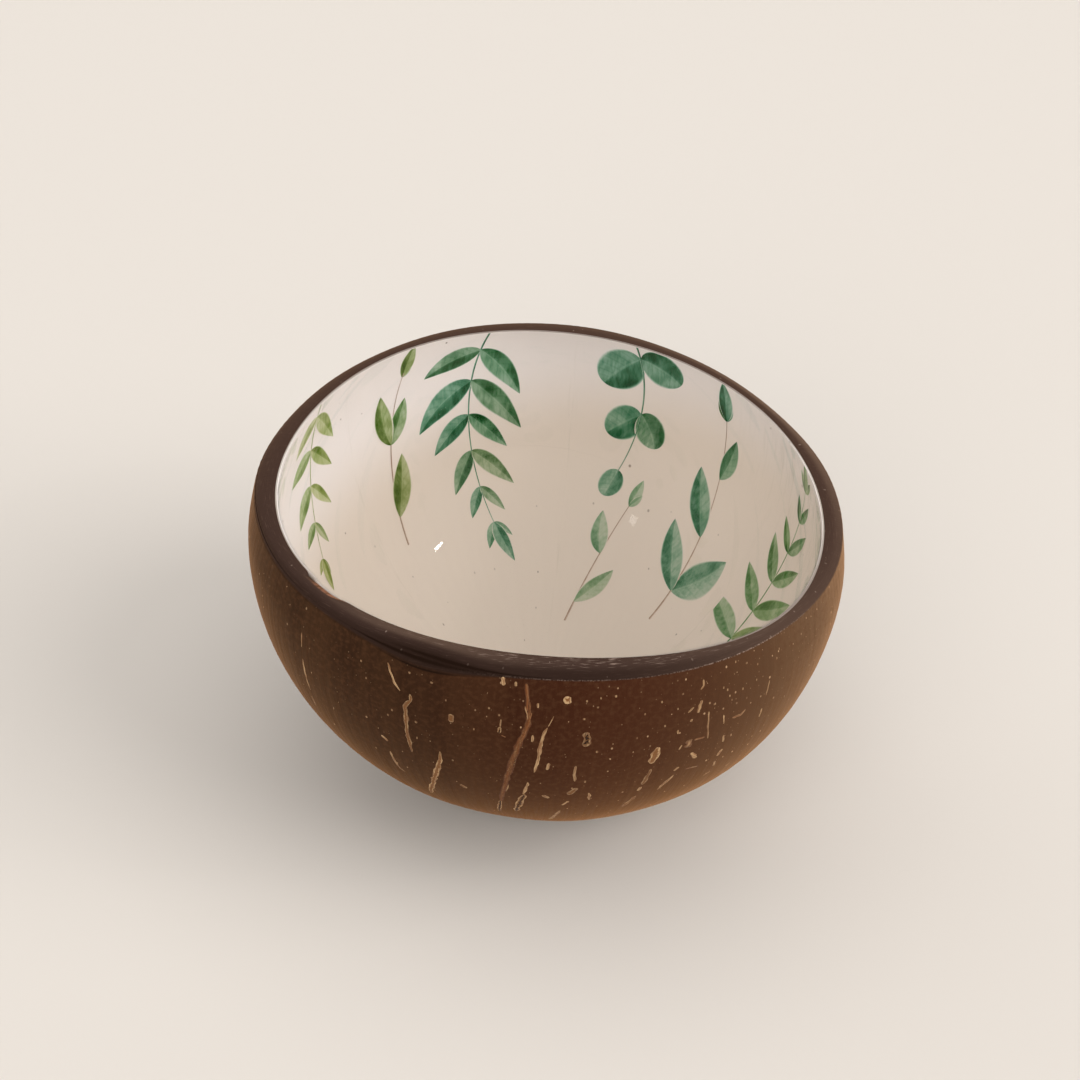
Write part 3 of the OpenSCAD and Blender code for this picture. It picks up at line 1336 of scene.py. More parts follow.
@dataclass
class Shell:
    """The half coconut shell with its sanded foot and rim."""

    form: BowlForm
    view: PhotoView
    columns: int = 720
    foot_rows: int = 10
    corner_rows: int = 26
    wall_rows: int = 150
    rim_rows: int = 18
    inner_rows: int = 24
    lip_rows: int = 5
    foot_start: float = 0.1
    foot_round: float = 0.0006
    edge_round: float = 0.0004
    lip_round: float = 0.00015
    pole_gap: float = 0.05
    taper_h: float = 0.010
    groove_depth: float = 0.00012
    softer: tuple[Arc, ...] = (Arc(-109, 10, 0.0019), Arc(-132, 26, 0.0007), Arc(180, 40, 0.0003))
    lobes: tuple[Arc, ...] = (Arc(-28, 26, 0.0009), Arc(-146, 24, 0.0008), Arc(-106, 12, -0.0006))
    chip: Chip = Chip()
    weathering: Weathering = Weathering()
    hand: Relief = Relief(seed=3, height=0.00006, around=(3, 12), along=18.0)
    fibre: Relief = Relief(seed=4, height=0.000012, around=(90, 230), along=30.0)

    @property
    def turns(self) -> Array:
        """Directions of the columns."""
        return round_turns(self.columns)

    def outer(self, turn: Array, lean: Array) -> tuple[Array, Array]:
        """Gives the outer wall with its unevenness, sanded in under the rim.

        Args:
            turn: Directions.
            lean: Leans on the outer skin.

        Returns:
            Mean radii and heights.
        """
        form, skin = self.form, self.form.shell_out
        z, run = form.skin_z(skin, lean), form.girth_r * lean
        inset = add_up(self.lobes, turn) * smooth_step(z, form.bowl_h - self.taper_h, form.bowl_h)
        calm = smooth_step(z, 0.0, self.taper_h)
        uneven = calm * (self.hand.at(turn, run) + self.fibre.at(turn, run))
        return form.skin_r(skin, lean, turn) - inset + uneven, z

    def outer_point(self, turn: Array, lean: Array) -> Array:
        """Points of the outer wall."""
        radius, z = self.outer(turn, lean)
        return self.form.place(radius, z, turn)

    def outside(self, points: Array) -> Array:
        """Gives a positive number for each point outside the shell's plain outer skin.

        Args:
            points: The points.

        Returns:
            A number for each.
        """
        form, skin, z = self.form, self.form.shell_out, points[:, 2]
        x, y = (points[:, :2] - form.drift(z)).T
        rise = np.clip(np.abs(z - form.girth_h) / skin.depth, 0, 1)
        radius = skin.half_width * (1 - rise**form.end_power) ** (1 / form.side_power)
        reach = np.hypot(x, y) / form.swell(np.arctan2(y, x))
        return np.where(z > form.bowl_h, 1.0, reach - radius)

    def seat(self, pixel: Pixel) -> Pair:
        """Finds the direction and the lean at which a pixel shows the outer wall."""
        point = self.view.hit(pixel, self.outside)
        return self.turn_of(point), float(self.form.lean_at(self.form.shell_out, point[2]))

    def turn_of(self, point: Array) -> float:
        """Gives the direction of a point from the bowl's drifting centre."""
        x, y = point[:2] - self.form.drift(point[2])
        return math.atan2(y, x)

    def softness(self, turn: Array) -> Array:
        """Size of the rounding on the rim's outer edge."""
        return self.edge_round + add_up(self.softer, turn)

    def mouth(self, turn: Array) -> Array:
        """Mean radius of the rim's inner edge."""
        skin = self.form.shell_in
        return self.form.skin_r(skin, self.form.lean_at(skin, self.form.bowl_h), turn)

    def profile(self) -> tuple[Array, Array, Array]:
        """Works out the rings of the outside, from the foot up over the rim to the mouth.

        Returns:
            Mean radii and heights, row by column, and the zone of each row: below 0 on the
            foot, 0 on the wall, up to 1 over the rim's round edge and up to 2 across its top.
        """
        form, turn = self.form, self.turns
        skin, soft = form.shell_out, self.softness(turn)
        top_z = form.bowl_h - form.round_at(turn)
        foot_lean = form.lean_at(skin, self.foot_round)
        top_lean = form.lean_at(skin, top_z - soft)
        flat = np.zeros_like(turn)
        rows = [np.stack([flat + form.foot_r * share, flat]) for share
                in np.linspace(self.foot_start, 1 - self.foot_round / form.foot_r, self.foot_rows)]
        low = np.stack(self.outer(turn, flat + foot_lean))
        rows += corner(rows[-1], np.stack([flat + form.foot_r, flat]), low, self.foot_rows)[1:-1]
        zones = [-1.0] * len(rows)
        for share in np.linspace(0, 1, self.wall_rows):
            rows.append(np.stack(self.outer(turn, foot_lean + (top_lean - foot_lean) * share)))
        zones += [0.0] * self.wall_rows
        edge = np.stack(self.outer(turn, form.lean_at(skin, top_z)))
        mouth = self.mouth(turn)

        def crown(share: Array) -> Array:
            """Top of the rim at a share of the way from the mouth out to the edge."""
            height = form.bowl_h - form.round_at(turn) * share**form.crown_power
            return np.stack([mouth + (edge[0] - mouth) * share, height])

        crest = 1 - soft / (edge[0] - mouth)
        rows += corner(rows[-1], edge, crown(crest), self.corner_rows)[1:]
        zones += list(np.linspace(0, 1, self.corner_rows)[1:])
        lip = self.lip_round / (edge[0] - mouth)
        rows += [crown(lip + (crest - lip) * share) for share in np.linspace(1, 0, self.rim_rows)[1:]]
        zones += list(np.linspace(1, 2, self.rim_rows)[1:])
        sill = np.stack([mouth, flat + form.bowl_h])
        rows += corner(rows[-1], sill, sill - [[0.0], [self.lip_round]], self.lip_rows)[1:]
        zones += [2.0] * (self.lip_rows - 1)
        profile = np.stack(rows)
        return profile[:, 0], profile[:, 1], np.array(zones)[:, None]

    def chip_share(self, turn: Array) -> Array:
        """Share of the way along the chip, below 0 before it and above 1 past it."""
        start, end = (self.turn_of(self.view.on_level(pixel, self.form.bowl_h))
                      for pixel in (self.chip.start, self.chip.end))
        return turn_between(turn, start) / (end - start)

    def break_chip(self, radius: Array, z: Array) -> Array:
        """Breaks the splinter out of the inner edge, in place.

        Args:
            radius: Mean radii of the outside's rings.
            z: Their heights.

        Returns:
            How bare the shell is at each point.
        """
        form, chip, turn = self.form, self.chip, self.turns
        share, mouth = self.chip_share(turn), self.mouth(turn)
        run = there_and_back(share, *chip.opens, *chip.closes)
        off = (radius - mouth) / np.maximum(chip.width * run, TINY)
        near_top = (z > form.bowl_h - form.round_h * chip.reach) & (radius < mouth + chip.width)
        cut = np.where(near_top, np.clip(1 - off, 0, 1), 0.0) * (run > chip.least)
        z -= chip.depth * cut * run
        return smooth_step(cut, *chip.bare_depth) * smooth_step(share, *chip.bare_from)

    def build(self) -> Piece:
        """Builds the shell.

        Returns:
            The piece.
        """
        form, turn = self.form, self.turns
        radius, z, zone = self.profile()
        values = self.weathering.marks(turn, zone, self.edge_round / self.softness(turn))
        values["raw"] = self.break_chip(radius, z)
        z -= self.groove_depth * values["shaded_dent"]
        radius -= self.groove_depth * values["shaded_dent"]
        lean_top = form.lean_at(form.shell_in, form.bowl_h - self.lip_round)
        leans = np.linspace(POLE + self.pole_gap, lean_top, self.inner_rows)[:-1, None]
        inner = form.skin_point(form.shell_in, leans, turn)
        parts = cup_parts(form.place(radius, z, turn), inner, turn, form.girth_r)
        for key, value in values.items():
            spare = np.full(inner.shape[0] * self.columns + 1, 1.0 if key == "rim" else 0.0)
            parts.values[key] = np.concatenate([value[0, :1], value.ravel(), spare])
        way, run = parts.skin[:, 0] / form.girth_r, parts.skin[:, 1]
        parts.values["grain"] = np.stack([form.girth_r * np.cos(way), form.girth_r * np.sin(way), run], -1)
        return parts.make("half_shell")


# Husk fibres


class Streak(Enum):
    """How a streak of husk looks, as how hollow, rusty, pitted and faded it is."""

    SOLID = (0.25, 0.0, 0.0, 0.0)
    DOT = (0.25, 0.0, 0.0, 0.35)
    HOLLOW = (1.0, 0.0, 0.0, 0.0)
    PITTED = (1.0, 0.0, 1.0, 0.0)
    RUST = (0.15, 1.0, 0.3, 0.6)
    STAIN = (0.0, 1.0, 0.0, 0.6)
    RUBBED = (0.0, 0.3, 0.0, 0.35)


@dataclass(frozen=True)
class HuskStreak:
    """A streak of husk in the shell: its width in tenths of a millimetre, its path and its look.

    The path goes through pixels of the photograph, from the streak's top to its foot.
    """

    tenths: float
    path: tuple[Pixel, ...]
    look: Streak = Streak.SOLID


STREAKS: tuple[HuskStreak, ...] = tuple(HuskStreak(*row) for row in (
    (12, ((410, 694), (411, 700), (405, 706), (406, 718), (407, 733), (410, 744), (412, 752)),
     Streak.HOLLOW),
    (14, ((440, 751), (440, 761), (436, 773), (433, 783), (431, 793)), Streak.HOLLOW),
    (6, ((388, 662), (391, 673), (394, 682), (400, 691))),
    (4, ((302, 632), (302, 647))),
    (7, ((303, 658), (305, 670), (308, 682), (311, 690))),
    (7, ((312, 696), (316, 705))),
    (9, ((381, 735), (388, 741))),
    (7, ((390, 751), (395, 761), (400, 768), (406, 772))),
    (11, ((526, 682), (528, 696), (527, 712)), Streak.STAIN),
    (4, ((525, 706), (527, 714), (528, 721))),
    (18, ((530, 699), (529, 722), (520, 741), (513, 758), (507, 778), (500, 803)), Streak.RUST),
    (6, ((532, 712), (527, 728), (521, 744)), Streak.STAIN),
    (3, ((512, 762), (507, 772))),
    (4, ((516, 756), (513, 768)), Streak.PITTED),
    (10, ((548, 727), (543, 736), (540, 747), (538, 760), (534, 773))),
    (3, ((554, 716), (548, 727))),
    (9, ((528, 782), (526, 788), (523, 794))),
    (20, ((525, 794), (520, 801), (516, 811)), Streak.PITTED),
    (4, ((509, 784), (506, 791))),
    (14, ((501, 800), (499, 811)), Streak.PITTED),
    (9, ((503, 676), (504, 685))),
    (6, ((516, 681), (516, 686))),
    (4, ((501, 719), (500, 727))),
    (9, ((500, 727), (499, 733)), Streak.PITTED),
    (4, ((501, 735), (506, 737)), Streak.STAIN),
    (5, ((538, 703), (538, 708))),
    (6, ((533, 735), (532, 742))),
    (14, ((451, 714), (451, 722)), Streak.HOLLOW),
    (11, ((460, 784), (467, 788)), Streak.HOLLOW),
    (18, ((567, 696), (568, 704)), Streak.HOLLOW),
    (23, ((587, 732), (586, 747)), Streak.PITTED),
    (9, ((576, 766), (574, 775), (575, 782))),
    (17, ((577, 788), (568, 795)), Streak.HOLLOW),
    (8, ((549, 763), (547, 770))),
    (11, ((542, 795), (549, 798))),
    (10, ((589, 793), (589, 800))),
    (8, ((562, 805), (569, 801))),
    (12, ((560, 810), (549, 819))),
    (23, ((658, 747), (651, 764)), Streak.HOLLOW),
    (13, ((651, 769), (647, 777), (642, 785)), Streak.HOLLOW),
    (10, ((641, 787), (638, 791))),
    (14, ((636, 796), (622, 807)), Streak.HOLLOW),
    (10, ((674, 775), (666, 782), (657, 790))),
    (6, ((704, 680), (704, 686), (701, 690))),
    (4, ((770, 680), (766, 696))),
    (11, ((702, 700), (698, 713))),
    (5, ((694, 707), (688, 713))),
    (5, ((709, 711), (708, 726), (708, 739))),
    (4, ((724, 715), (724, 724))),
    (5, ((682, 745), (679, 750))),
    (7, ((692, 719), (691, 722))),
    (5, ((678, 730), (678, 734))),
    (6, ((762, 708), (759, 717))),
    (6, ((730, 762), (725, 766))),
    (14, ((691, 753), (696, 758))),
    (7, ((724, 735), (723, 742))),
    (9, ((722, 749), (717, 756))),
    (6, ((715, 761), (713, 766))),
    (9, ((679, 767), (674, 771))),
    (8, ((710, 771), (703, 776))),
    (24, ((686, 748), (689, 744), (691, 739)), Streak.RUBBED),
    (8, ((694, 740), (705, 737)), Streak.RUBBED),
    (9, ((685, 769), (698, 766)), Streak.RUBBED),
    (9, ((732, 718), (741, 715), (746, 709)), Streak.RUBBED),
))

DOTS: tuple[Pixel, ...] = (
    (474, 729), (392, 710), (388, 715), (417, 738), (446, 700), (416, 722), (334, 708), (366, 678),
    (432, 682), (410, 672), (361, 661), (489, 708), (499, 715), (587, 701), (601, 698), (598, 707),
    (616, 696), (645, 714), (584, 719), (585, 782), (597, 752), (637, 738), (650, 746), (665, 726),
    (662, 702), (683, 694), (678, 709), (710, 703), (715, 704), (724, 688), (728, 690), (730, 696),
    (732, 700), (737, 703), (743, 689), (747, 698), (731, 735), (757, 680), (748, 664), (759, 665),
    (737, 663), (781, 650), (778, 659), (784, 696), (809, 665),
)


@dataclass
class HuskFibres:
    """Husk left in the shell's grooves: the photographed streaks, and like ones all round the back."""

    shell: Shell
    sections: int = 32
    across: int = 7
    knots: int = 6
    knot_gap: float = 0.0008
    dot_px: float = 1.2
    dot_tenths: float = 5.5
    dot_run: float = 0.0026
    dot_sizes: Pair = (0.6, 1.25)
    dot_even: Pair = (0.85, 1.1)
    streak_even: Pair = (0.5, 1.25)
    blunt_power: float = 4.0
    least_body: float = 0.02
    probe: float = 0.0001
    fade: float = 0.4
    proud: float = 0.00007
    sunk: float = 0.00002
    thick: float = 0.0001
    seed: int = 11
    hidden: int = 90
    hidden_turns: Pair = (math.radians(0), math.radians(178))
    hidden_leans: Pair = (-1.05, 0.05)
    hidden_length: Pair = (0.0015, 0.011)
    hidden_width: Pair = (0.0005, 0.0018)
    hidden_sway: float = 0.16
    hidden_knots: int = 4
    hidden_stout: float = 0.4
    hidden_hollow: float = 0.45

    def paths(self) -> list[tuple[Array, float, Streak]]:
        """Lists the streaks.

        Returns:
            For each, directions and leans along its path, its width and its look.
        """
        rng = np.random.default_rng(self.seed)
        drawn = list(STREAKS)
        for x, y in DOTS:
            dot = ((x, y - self.dot_px), (x, y + self.dot_px))
            drawn.append(HuskStreak(self.dot_tenths * rng.uniform(*self.dot_sizes), dot, Streak.DOT))
        found = []
        for streak in drawn:
            seats = np.array([self.shell.seat(pixel) for pixel in streak.path])
            found.append((seats, streak.tenths / TENTHS_IN_METRE, streak.look))
        for _ in range(self.hidden):
            turn, lean = rng.uniform(*self.hidden_turns), rng.uniform(*self.hidden_leans)
            length = self.hidden_length[0] + np.ptp(self.hidden_length) * rng.random() ** 2
            width = min(rng.uniform(*self.hidden_width), length * self.hidden_stout)
            fall = length / self.shell.form.girth_r
            sway = rng.normal(0, self.hidden_sway * fall, self.hidden_knots).cumsum()
            leans = lean + np.linspace(0, -fall, self.hidden_knots)
            look = Streak.HOLLOW if rng.random() < self.hidden_hollow else Streak.SOLID
            found.append((np.stack([turn + sway, leans], -1), width, look))
        return found

    def lens(self, path: Array, width: float, rng: np.random.Generator) -> tuple[Array, Array, Array]:
        """Lays one streak on the wall as a low lens with an uneven outline.

        Args:
            path: Directions and leans along it.
            width: Its width.
            rng: Where its unevenness comes from.

        Returns:
            Points, section by across, their places across and along it, and how near each
            is to its border.
        """
        shell, step = self.shell, self.probe
        spine = shell.outer_point(path[:, 0], path[:, 1])
        run = np.append(0, np.cumsum(np.linalg.norm(np.diff(spine, axis=0), axis=1)))
        shares = np.linspace(0, 1, self.sections)
        turn = np.interp(shares * run[-1], run, np.unwrap(path[:, 0]))
        lean = np.interp(shares * run[-1], run, path[:, 1])
        spine = shell.outer_point(turn, lean)
        per_turn = np.linalg.norm(shell.outer_point(turn + step, lean) - spine, axis=1) / step
        per_lean = np.linalg.norm(shell.outer_point(turn, lean + step) - spine, axis=1) / step
        ahead = np.stack([np.gradient(turn) * per_turn, np.gradient(lean) * per_lean], -1)
        ahead /= np.linalg.norm(ahead, axis=1, keepdims=True)
        body = np.sqrt(np.maximum(1 - (2 * shares - 1) ** self.blunt_power, self.least_body))
        knots = np.linspace(0, 1, max(self.knots, int(run[-1] / self.knot_gap)))
        even = self.dot_even if run[-1] < self.dot_run else self.streak_even
        sides = [np.interp(shares, knots, rng.uniform(*even, len(knots))) * body * width / 2
                 for _ in range(2)]
        spots = np.linspace(-1, 1, self.across)
        out = np.where(spots < 0, sides[0][:, None], sides[1][:, None]) * spots
        turns = turn[:, None] + out * (ahead[:, 1] / per_turn)[:, None]
        leans = lean[:, None] - out * (ahead[:, 0] / per_lean)[:, None]
        points = shell.outer_point(turns, leans)
        normal = np.cross(shell.outer_point(turns + step, leans) - points,
                          shell.outer_point(turns, leans + step) - points)
        normal /= np.linalg.norm(normal, axis=-1, keepdims=True)
        lift = self.proud * (1 - spots**2) * body[:, None] - self.sunk
        ends = np.clip(1 - np.minimum(shares, 1 - shares) * run[-1] / (width / 2), 0, 1)
        along = shares * run[-1] + rng.uniform(0, 1)
        skin = np.stack(np.broadcast_arrays(out, along[:, None]), -1)
        return points + normal * lift[..., None], skin, np.maximum(ends[:, None], np.abs(spots))

    def build(self) -> Piece:
        """Builds all the streaks as one piece.

        Returns:
            The piece.
        """
        rng = np.random.default_rng(self.seed + 1)
        points, faces, skins, values = [], [], [], []
        count = self.sections * self.across
        for path, width, look in self.paths():
            lens, skin, border = self.lens(path, width, rng)
            faces += grid_faces(self.sections, self.across, len(points) * count, False, False)
            points.append(lens.reshape(-1, 3))
            skins.append(skin.reshape(-1, 2))
            hollow, rust, pit, faded = look.value
            plain = np.tile([hollow, rust, pit, faded + rng.uniform(0.0, self.fade)], (count, 1))
            values.append(np.column_stack([plain, border.ravel()]))
        parts = MeshParts(np.concatenate(points), faces, np.concatenate(skins))
        names = ("hollow", "rust", "pit", "faded", "border")
        parts.values.update(zip(names, np.concatenate(values).T.copy()))
        piece = parts.make("husk_fibres")
        solid = piece.modifiers.new("thickness", "SOLIDIFY")
        solid.thickness = self.thick
        solid.offset = -1.0
        return piece


# Lining


@dataclass
class Lining:
    """The coats inside the shell: white lacquer, pasted tissue and clear gloss."""

    shell: Shell
    coat_columns: int = 720
    coat_rows: int = 40
    sheet_columns: int = 64
    sheet_rows: int = 84
    disc_rows: int = 24
    gloss_rows: int = 90
    ink_room: float = 0.00008
    paper_lift: float = 0.00002
    last_row: float = 0.998
    pole_gap: float = 0.02
    run_steps: int = 600
    seam_pace: float = 90.0
    front_drop: Arc = Arc(-96, 42, 0.0008)
    # Where the coats' top edge stays white; elsewhere it is darkened with painted shade.
    white_lips: tuple[Arc, ...] = (Arc(190, 32), Arc(8, 24))
    folds: Arc = Arc(10, 24)
    fold_h: Pair = (0.040, 0.066)
    seam_fold: float = 0.5
    crease: Relief = Relief(seed=7, height=0.000012, around=(20, 90), along=25.0)
    pour: Relief = Relief(seed=8, height=0.000015, around=(1, 9), along=22.0)

    @property
    def form(self) -> BowlForm:
        """The bowl's sizes."""
        return self.shell.form

    def drop(self, turn: Array) -> Array:
        """Works out how far under the rim the coats end, at the front and at the chip.

        Args:
            turn: Directions.

        Returns:
            Heights under the rim.
        """
        chip, share = self.shell.chip, self.shell.chip_share(turn)
        broken = there_and_back(share, *chip.coat_opens, *chip.coat_closes)
        return np.maximum(self.front_drop.at(turn), chip.depth * broken)

    def top_lean(self, skin: Skin, turn: Array) -> Array:
        """Lean at which the coats end."""
        return self.form.lean_at(skin, self.form.bowl_h - self.drop(turn))

    def painted_lip_shade(self, turn: Array) -> Array:
        """How far the coats' top edge is darkened with painted shade, which stays white at the left and the
        right.
        """
        return 1 - np.minimum(add_up(self.white_lips, turn), 1.0)

    def run_at(self, lean: Array) -> Array:
        """Length along the tissue from the pole up to a lean."""
        return np.interp(lean, *self._runs())

    def lean_at_run(self, run: Array) -> Array:
        """Lean at a length along the tissue from the pole."""
        leans, runs = self._runs()
        return np.interp(run, runs, leans)

    def _runs(self) -> tuple[Array, Array]:
        """Measures up the tissue.

        Returns:
            Leans from the pole to the rim, and the lengths along the tissue to them.
        """
        form, skin = self.form, self.form.tissue_in
        leans = np.linspace(POLE, form.lean_at(skin, form.bowl_h), self.run_steps)
        radius = skin.half_width * np.cos(leans) ** (2 / form.side_power)
        steps = np.hypot(np.diff(radius), np.diff(form.skin_z(skin, leans)))
        return leans, np.append(0, np.cumsum(steps))

    def paper(self, turn: Array, lean: Array, lift: Array | float = 0.0) -> Array:
        """Points on the tissue's face, or lifted off it into the bowl.

        Args:
            turn: Directions.
            lean: Leans.
            lift: Distance from the paper.

        Returns:
            The points.
        """
        form, skin = self.form, self.form.tissue_in
        off = lift + self.crease.at(turn, form.girth_r * lean)
        radius = form.skin_r(skin, lean, turn) - off * np.cos(lean)
        return form.place(radius, form.skin_z(skin, lean) - off * np.sin(lean), turn)

    def coat(self, name: str, outer: Skin, inner: Skin, rows: int) -> Piece:
        """Builds a coat that covers the whole inside.

        Args:
            name: Name of the piece.
            outer: Skin that it lies on.
            inner: Skin of its own face.
            rows: Rows of each face.

        Returns:
            The piece.
        """
        turn = round_turns(self.coat_columns)
        faces = []
        for skin, pour in ((outer, 0.0), (inner, 1.0)):
            leans = np.linspace(POLE + self.pole_gap, self.top_lean(skin, turn), rows)
            wave = pour * self.pour.at(turn, self.form.girth_r * leans) * np.cos(leans)
            radius = self.form.skin_r(skin, leans, turn) + wave
            faces.append(self.form.place(radius, self.form.skin_z(skin, leans), turn))
        parts = cup_parts(faces[0], faces[1], turn, self.form.girth_r)
        inside = np.zeros(1 + (rows - 1) * len(turn))
        parts.values["lip"] = np.tile(np.append(inside, self.painted_lip_shade(turn)), 2)
        return parts.make(name)

    def disc(self) -> Piece:
        """Builds the round piece of tissue in the bottom.

        Returns:
            The piece.
        """
        form, turn = self.form, round_turns(self.coat_columns)
        under, over = (np.linspace(POLE + self.pole_gap, form.lean_at_disc(skin), self.disc_rows)[:, None]
                       for skin in (form.coat_in, form.tissue_in))
        outer = form.skin_point(form.coat_in, under, turn)
        return cup_parts(outer, self.paper(turn, over), turn, form.girth_r).make("bottom_tissue")

    def gore(self, number: int) -> Piece:
        """Builds one wall piece of tissue, whose edges stand up a little at the seams.

        Args:
            number: Its number round the bowl, from 1.

        Returns:
            The piece.
        """
        form = self.form
        start = form.seam_turn + (number - 1) * form.gore_turn
        turn = np.linspace(start, start + form.gore_turn, self.sheet_columns)
        across = np.linspace(0, 1, self.sheet_columns)
        edge = np.exp(-across * self.seam_pace) + np.exp((across - 1) * self.seam_pace)
        lift = self.paper_lift * edge
        up = np.append(np.linspace(0, self.last_row, self.sheet_rows - 1), 1.0)[:, None]
        grids = []
        for skin in (form.coat_in, form.tissue_in):
            low = form.lean_at_disc(skin)
            leans = low + (self.top_lean(skin, turn) - low) * up
            on_coat = skin == form.coat_in
            grids.append(form.skin_point(skin, leans, turn) if on_coat else self.paper(turn, leans, lift))
        run = self.run_at(leans)
        skin_map = np.stack([np.broadcast_to(turn * form.girth_r, run.shape), run], -1)
        parts = patch_parts(grids[0], grids[1], skin_map)
        wrinkled = self.folds.at(turn) * smooth_step(grids[1][..., 2], *self.fold_h)
        creased = np.maximum(wrinkled, self.seam_fold * edge)
        parts.values["creased"] = np.tile(creased.ravel(), 2)
        parts.values["lip"] = np.tile(((up == 1.0) * self.painted_lip_shade(turn)).ravel(), 2)
        return parts.make(f"wall_tissue_{number}")

    def build(self) -> None:
        """Builds and dresses all the coats."""
        form = self.form
        fit_piece(self.coat("white_lacquer_coat", form.shell_in, form.coat_in, self.coat_rows),
                  WhiteLacquer(), "white_lacquer", "white_base_coat")
        fit_piece(self.disc(), PastedTissue(), "tissue", "tissue_base_disc")
        for number in range(1, form.gore_count + 1):
            fit_piece(self.gore(number), PastedTissue(), "tissue", f"tissue_gore_{number}")
        under = form.tissue_in.inset(self.ink_room, self.ink_room)
        fit_piece(self.coat("clear_gloss_pour", under, form.gloss_in, self.gloss_rows),
                  ClearGloss(), "clear_gloss", "clear_gloss_coat")


# Print


class Pigment(Enum):
    """Inks of the print."""

    PINE = "#3a7a5a"
    SAGE = "#6fa47c"
    FERN = "#4a7f3e"
    OLIVE = "#6b8844"
    LIME = "#9cb066"
    TWIG = "#a58a78"


LEAF_POWER = 0.85


class Motif(Enum):
    """Kinds of sprig in the print: length to width of a leaf, where it is widest, and its spread."""

    FROND = (2.7, 0.40, 60.0)
    LANCE = (2.4, 0.45, 38.0)
    COIN = (1.12, 0.50, 68.0)

    def half_width(self, shares: Array) -> Array:
        """Gives a leaf's half width along it as a share of its length.

        Args:
            shares: Shares of the way along it.

        Returns:
            Half widths.
        """
        slim, belly, _ = self.value
        if self is Motif.COIN:
            body = np.sqrt(np.maximum(1 - (2 * shares - 1) ** 2, 0))
        else:
            bent = shares ** (math.log(0.5) / math.log(belly))
            body = np.sin(np.pi * bent) ** LEAF_POWER
        return body / (2 * slim)


@dataclass(frozen=True)
class Sprig:
    """One printed sprig on a wall piece of tissue, or on the bottom disc where gore is 0."""

    gore: int
    motif: Motif
    pigment: Pigment
    root: Pair
    aim: float
    length: float
    bend: float
    leaf: float
    pairs: int


SPRIGS: tuple[Sprig, ...] = (
    Sprig(0, Motif.LANCE, Pigment.SAGE, (-0.021, -0.004), 78.0, 0.040, -0.5, 0.015, 4),
    Sprig(0, Motif.COIN, Pigment.FERN, (0.016, -0.006), 215.0, 0.018, 0.5, 0.009, 3),
    Sprig(1, Motif.FROND, Pigment.FERN, (0.010, 0.046), 22.0, 0.056, -0.5, 0.016, 6),
    Sprig(1, Motif.COIN, Pigment.LIME, (-0.016, 0.108), 172.0, 0.040, 0.5, 0.012, 3),
    Sprig(2, Motif.LANCE, Pigment.PINE, (-0.008, 0.040), -14.0, 0.058, 0.4, 0.021, 4),
    Sprig(2, Motif.COIN, Pigment.PINE, (0.017, 0.109), 198.0, 0.040, -0.6, 0.0135, 3),
    Sprig(2, Motif.LANCE, Pigment.SAGE, (0.012, 0.030), 8.0, 0.034, -0.4, 0.014, 3),
    Sprig(3, Motif.FROND, Pigment.PINE, (-0.011, 0.110), 160.0, 0.058, 0.6, 0.019, 6),
    Sprig(3, Motif.LANCE, Pigment.OLIVE, (0.018, 0.056), 8.0, 0.044, -0.5, 0.018, 3),
    Sprig(4, Motif.COIN, Pigment.FERN, (0.012, 0.044), -4.0, 0.054, 0.6, 0.013, 4),
    Sprig(4, Motif.FROND, Pigment.LIME, (-0.018, 0.110), 176.0, 0.044, -0.4, 0.0145, 5),
    Sprig(5, Motif.LANCE, Pigment.FERN, (0.008, 0.108), 190.0, 0.054, 0.5, 0.020, 4),
    Sprig(5, Motif.FROND, Pigment.SAGE, (-0.014, 0.046), -12.0, 0.048, 0.4, 0.016, 6),
    Sprig(6, Motif.FROND, Pigment.OLIVE, (0.010, 0.044), 18.0, 0.056, 0.5, 0.018, 6),
    Sprig(6, Motif.COIN, Pigment.PINE, (-0.014, 0.108), 165.0, 0.046, -0.5, 0.013, 4),
)


def leaf_size(share: float) -> float:
    """Size of a leaf at a share of the way up its stem: fullest low down, and smaller to the tip."""
    full_size, full_at, off_loss, up_loss = 1.05, 0.3, 0.72, 0.25
    return full_size - off_loss * abs(share - full_at) - up_loss * share


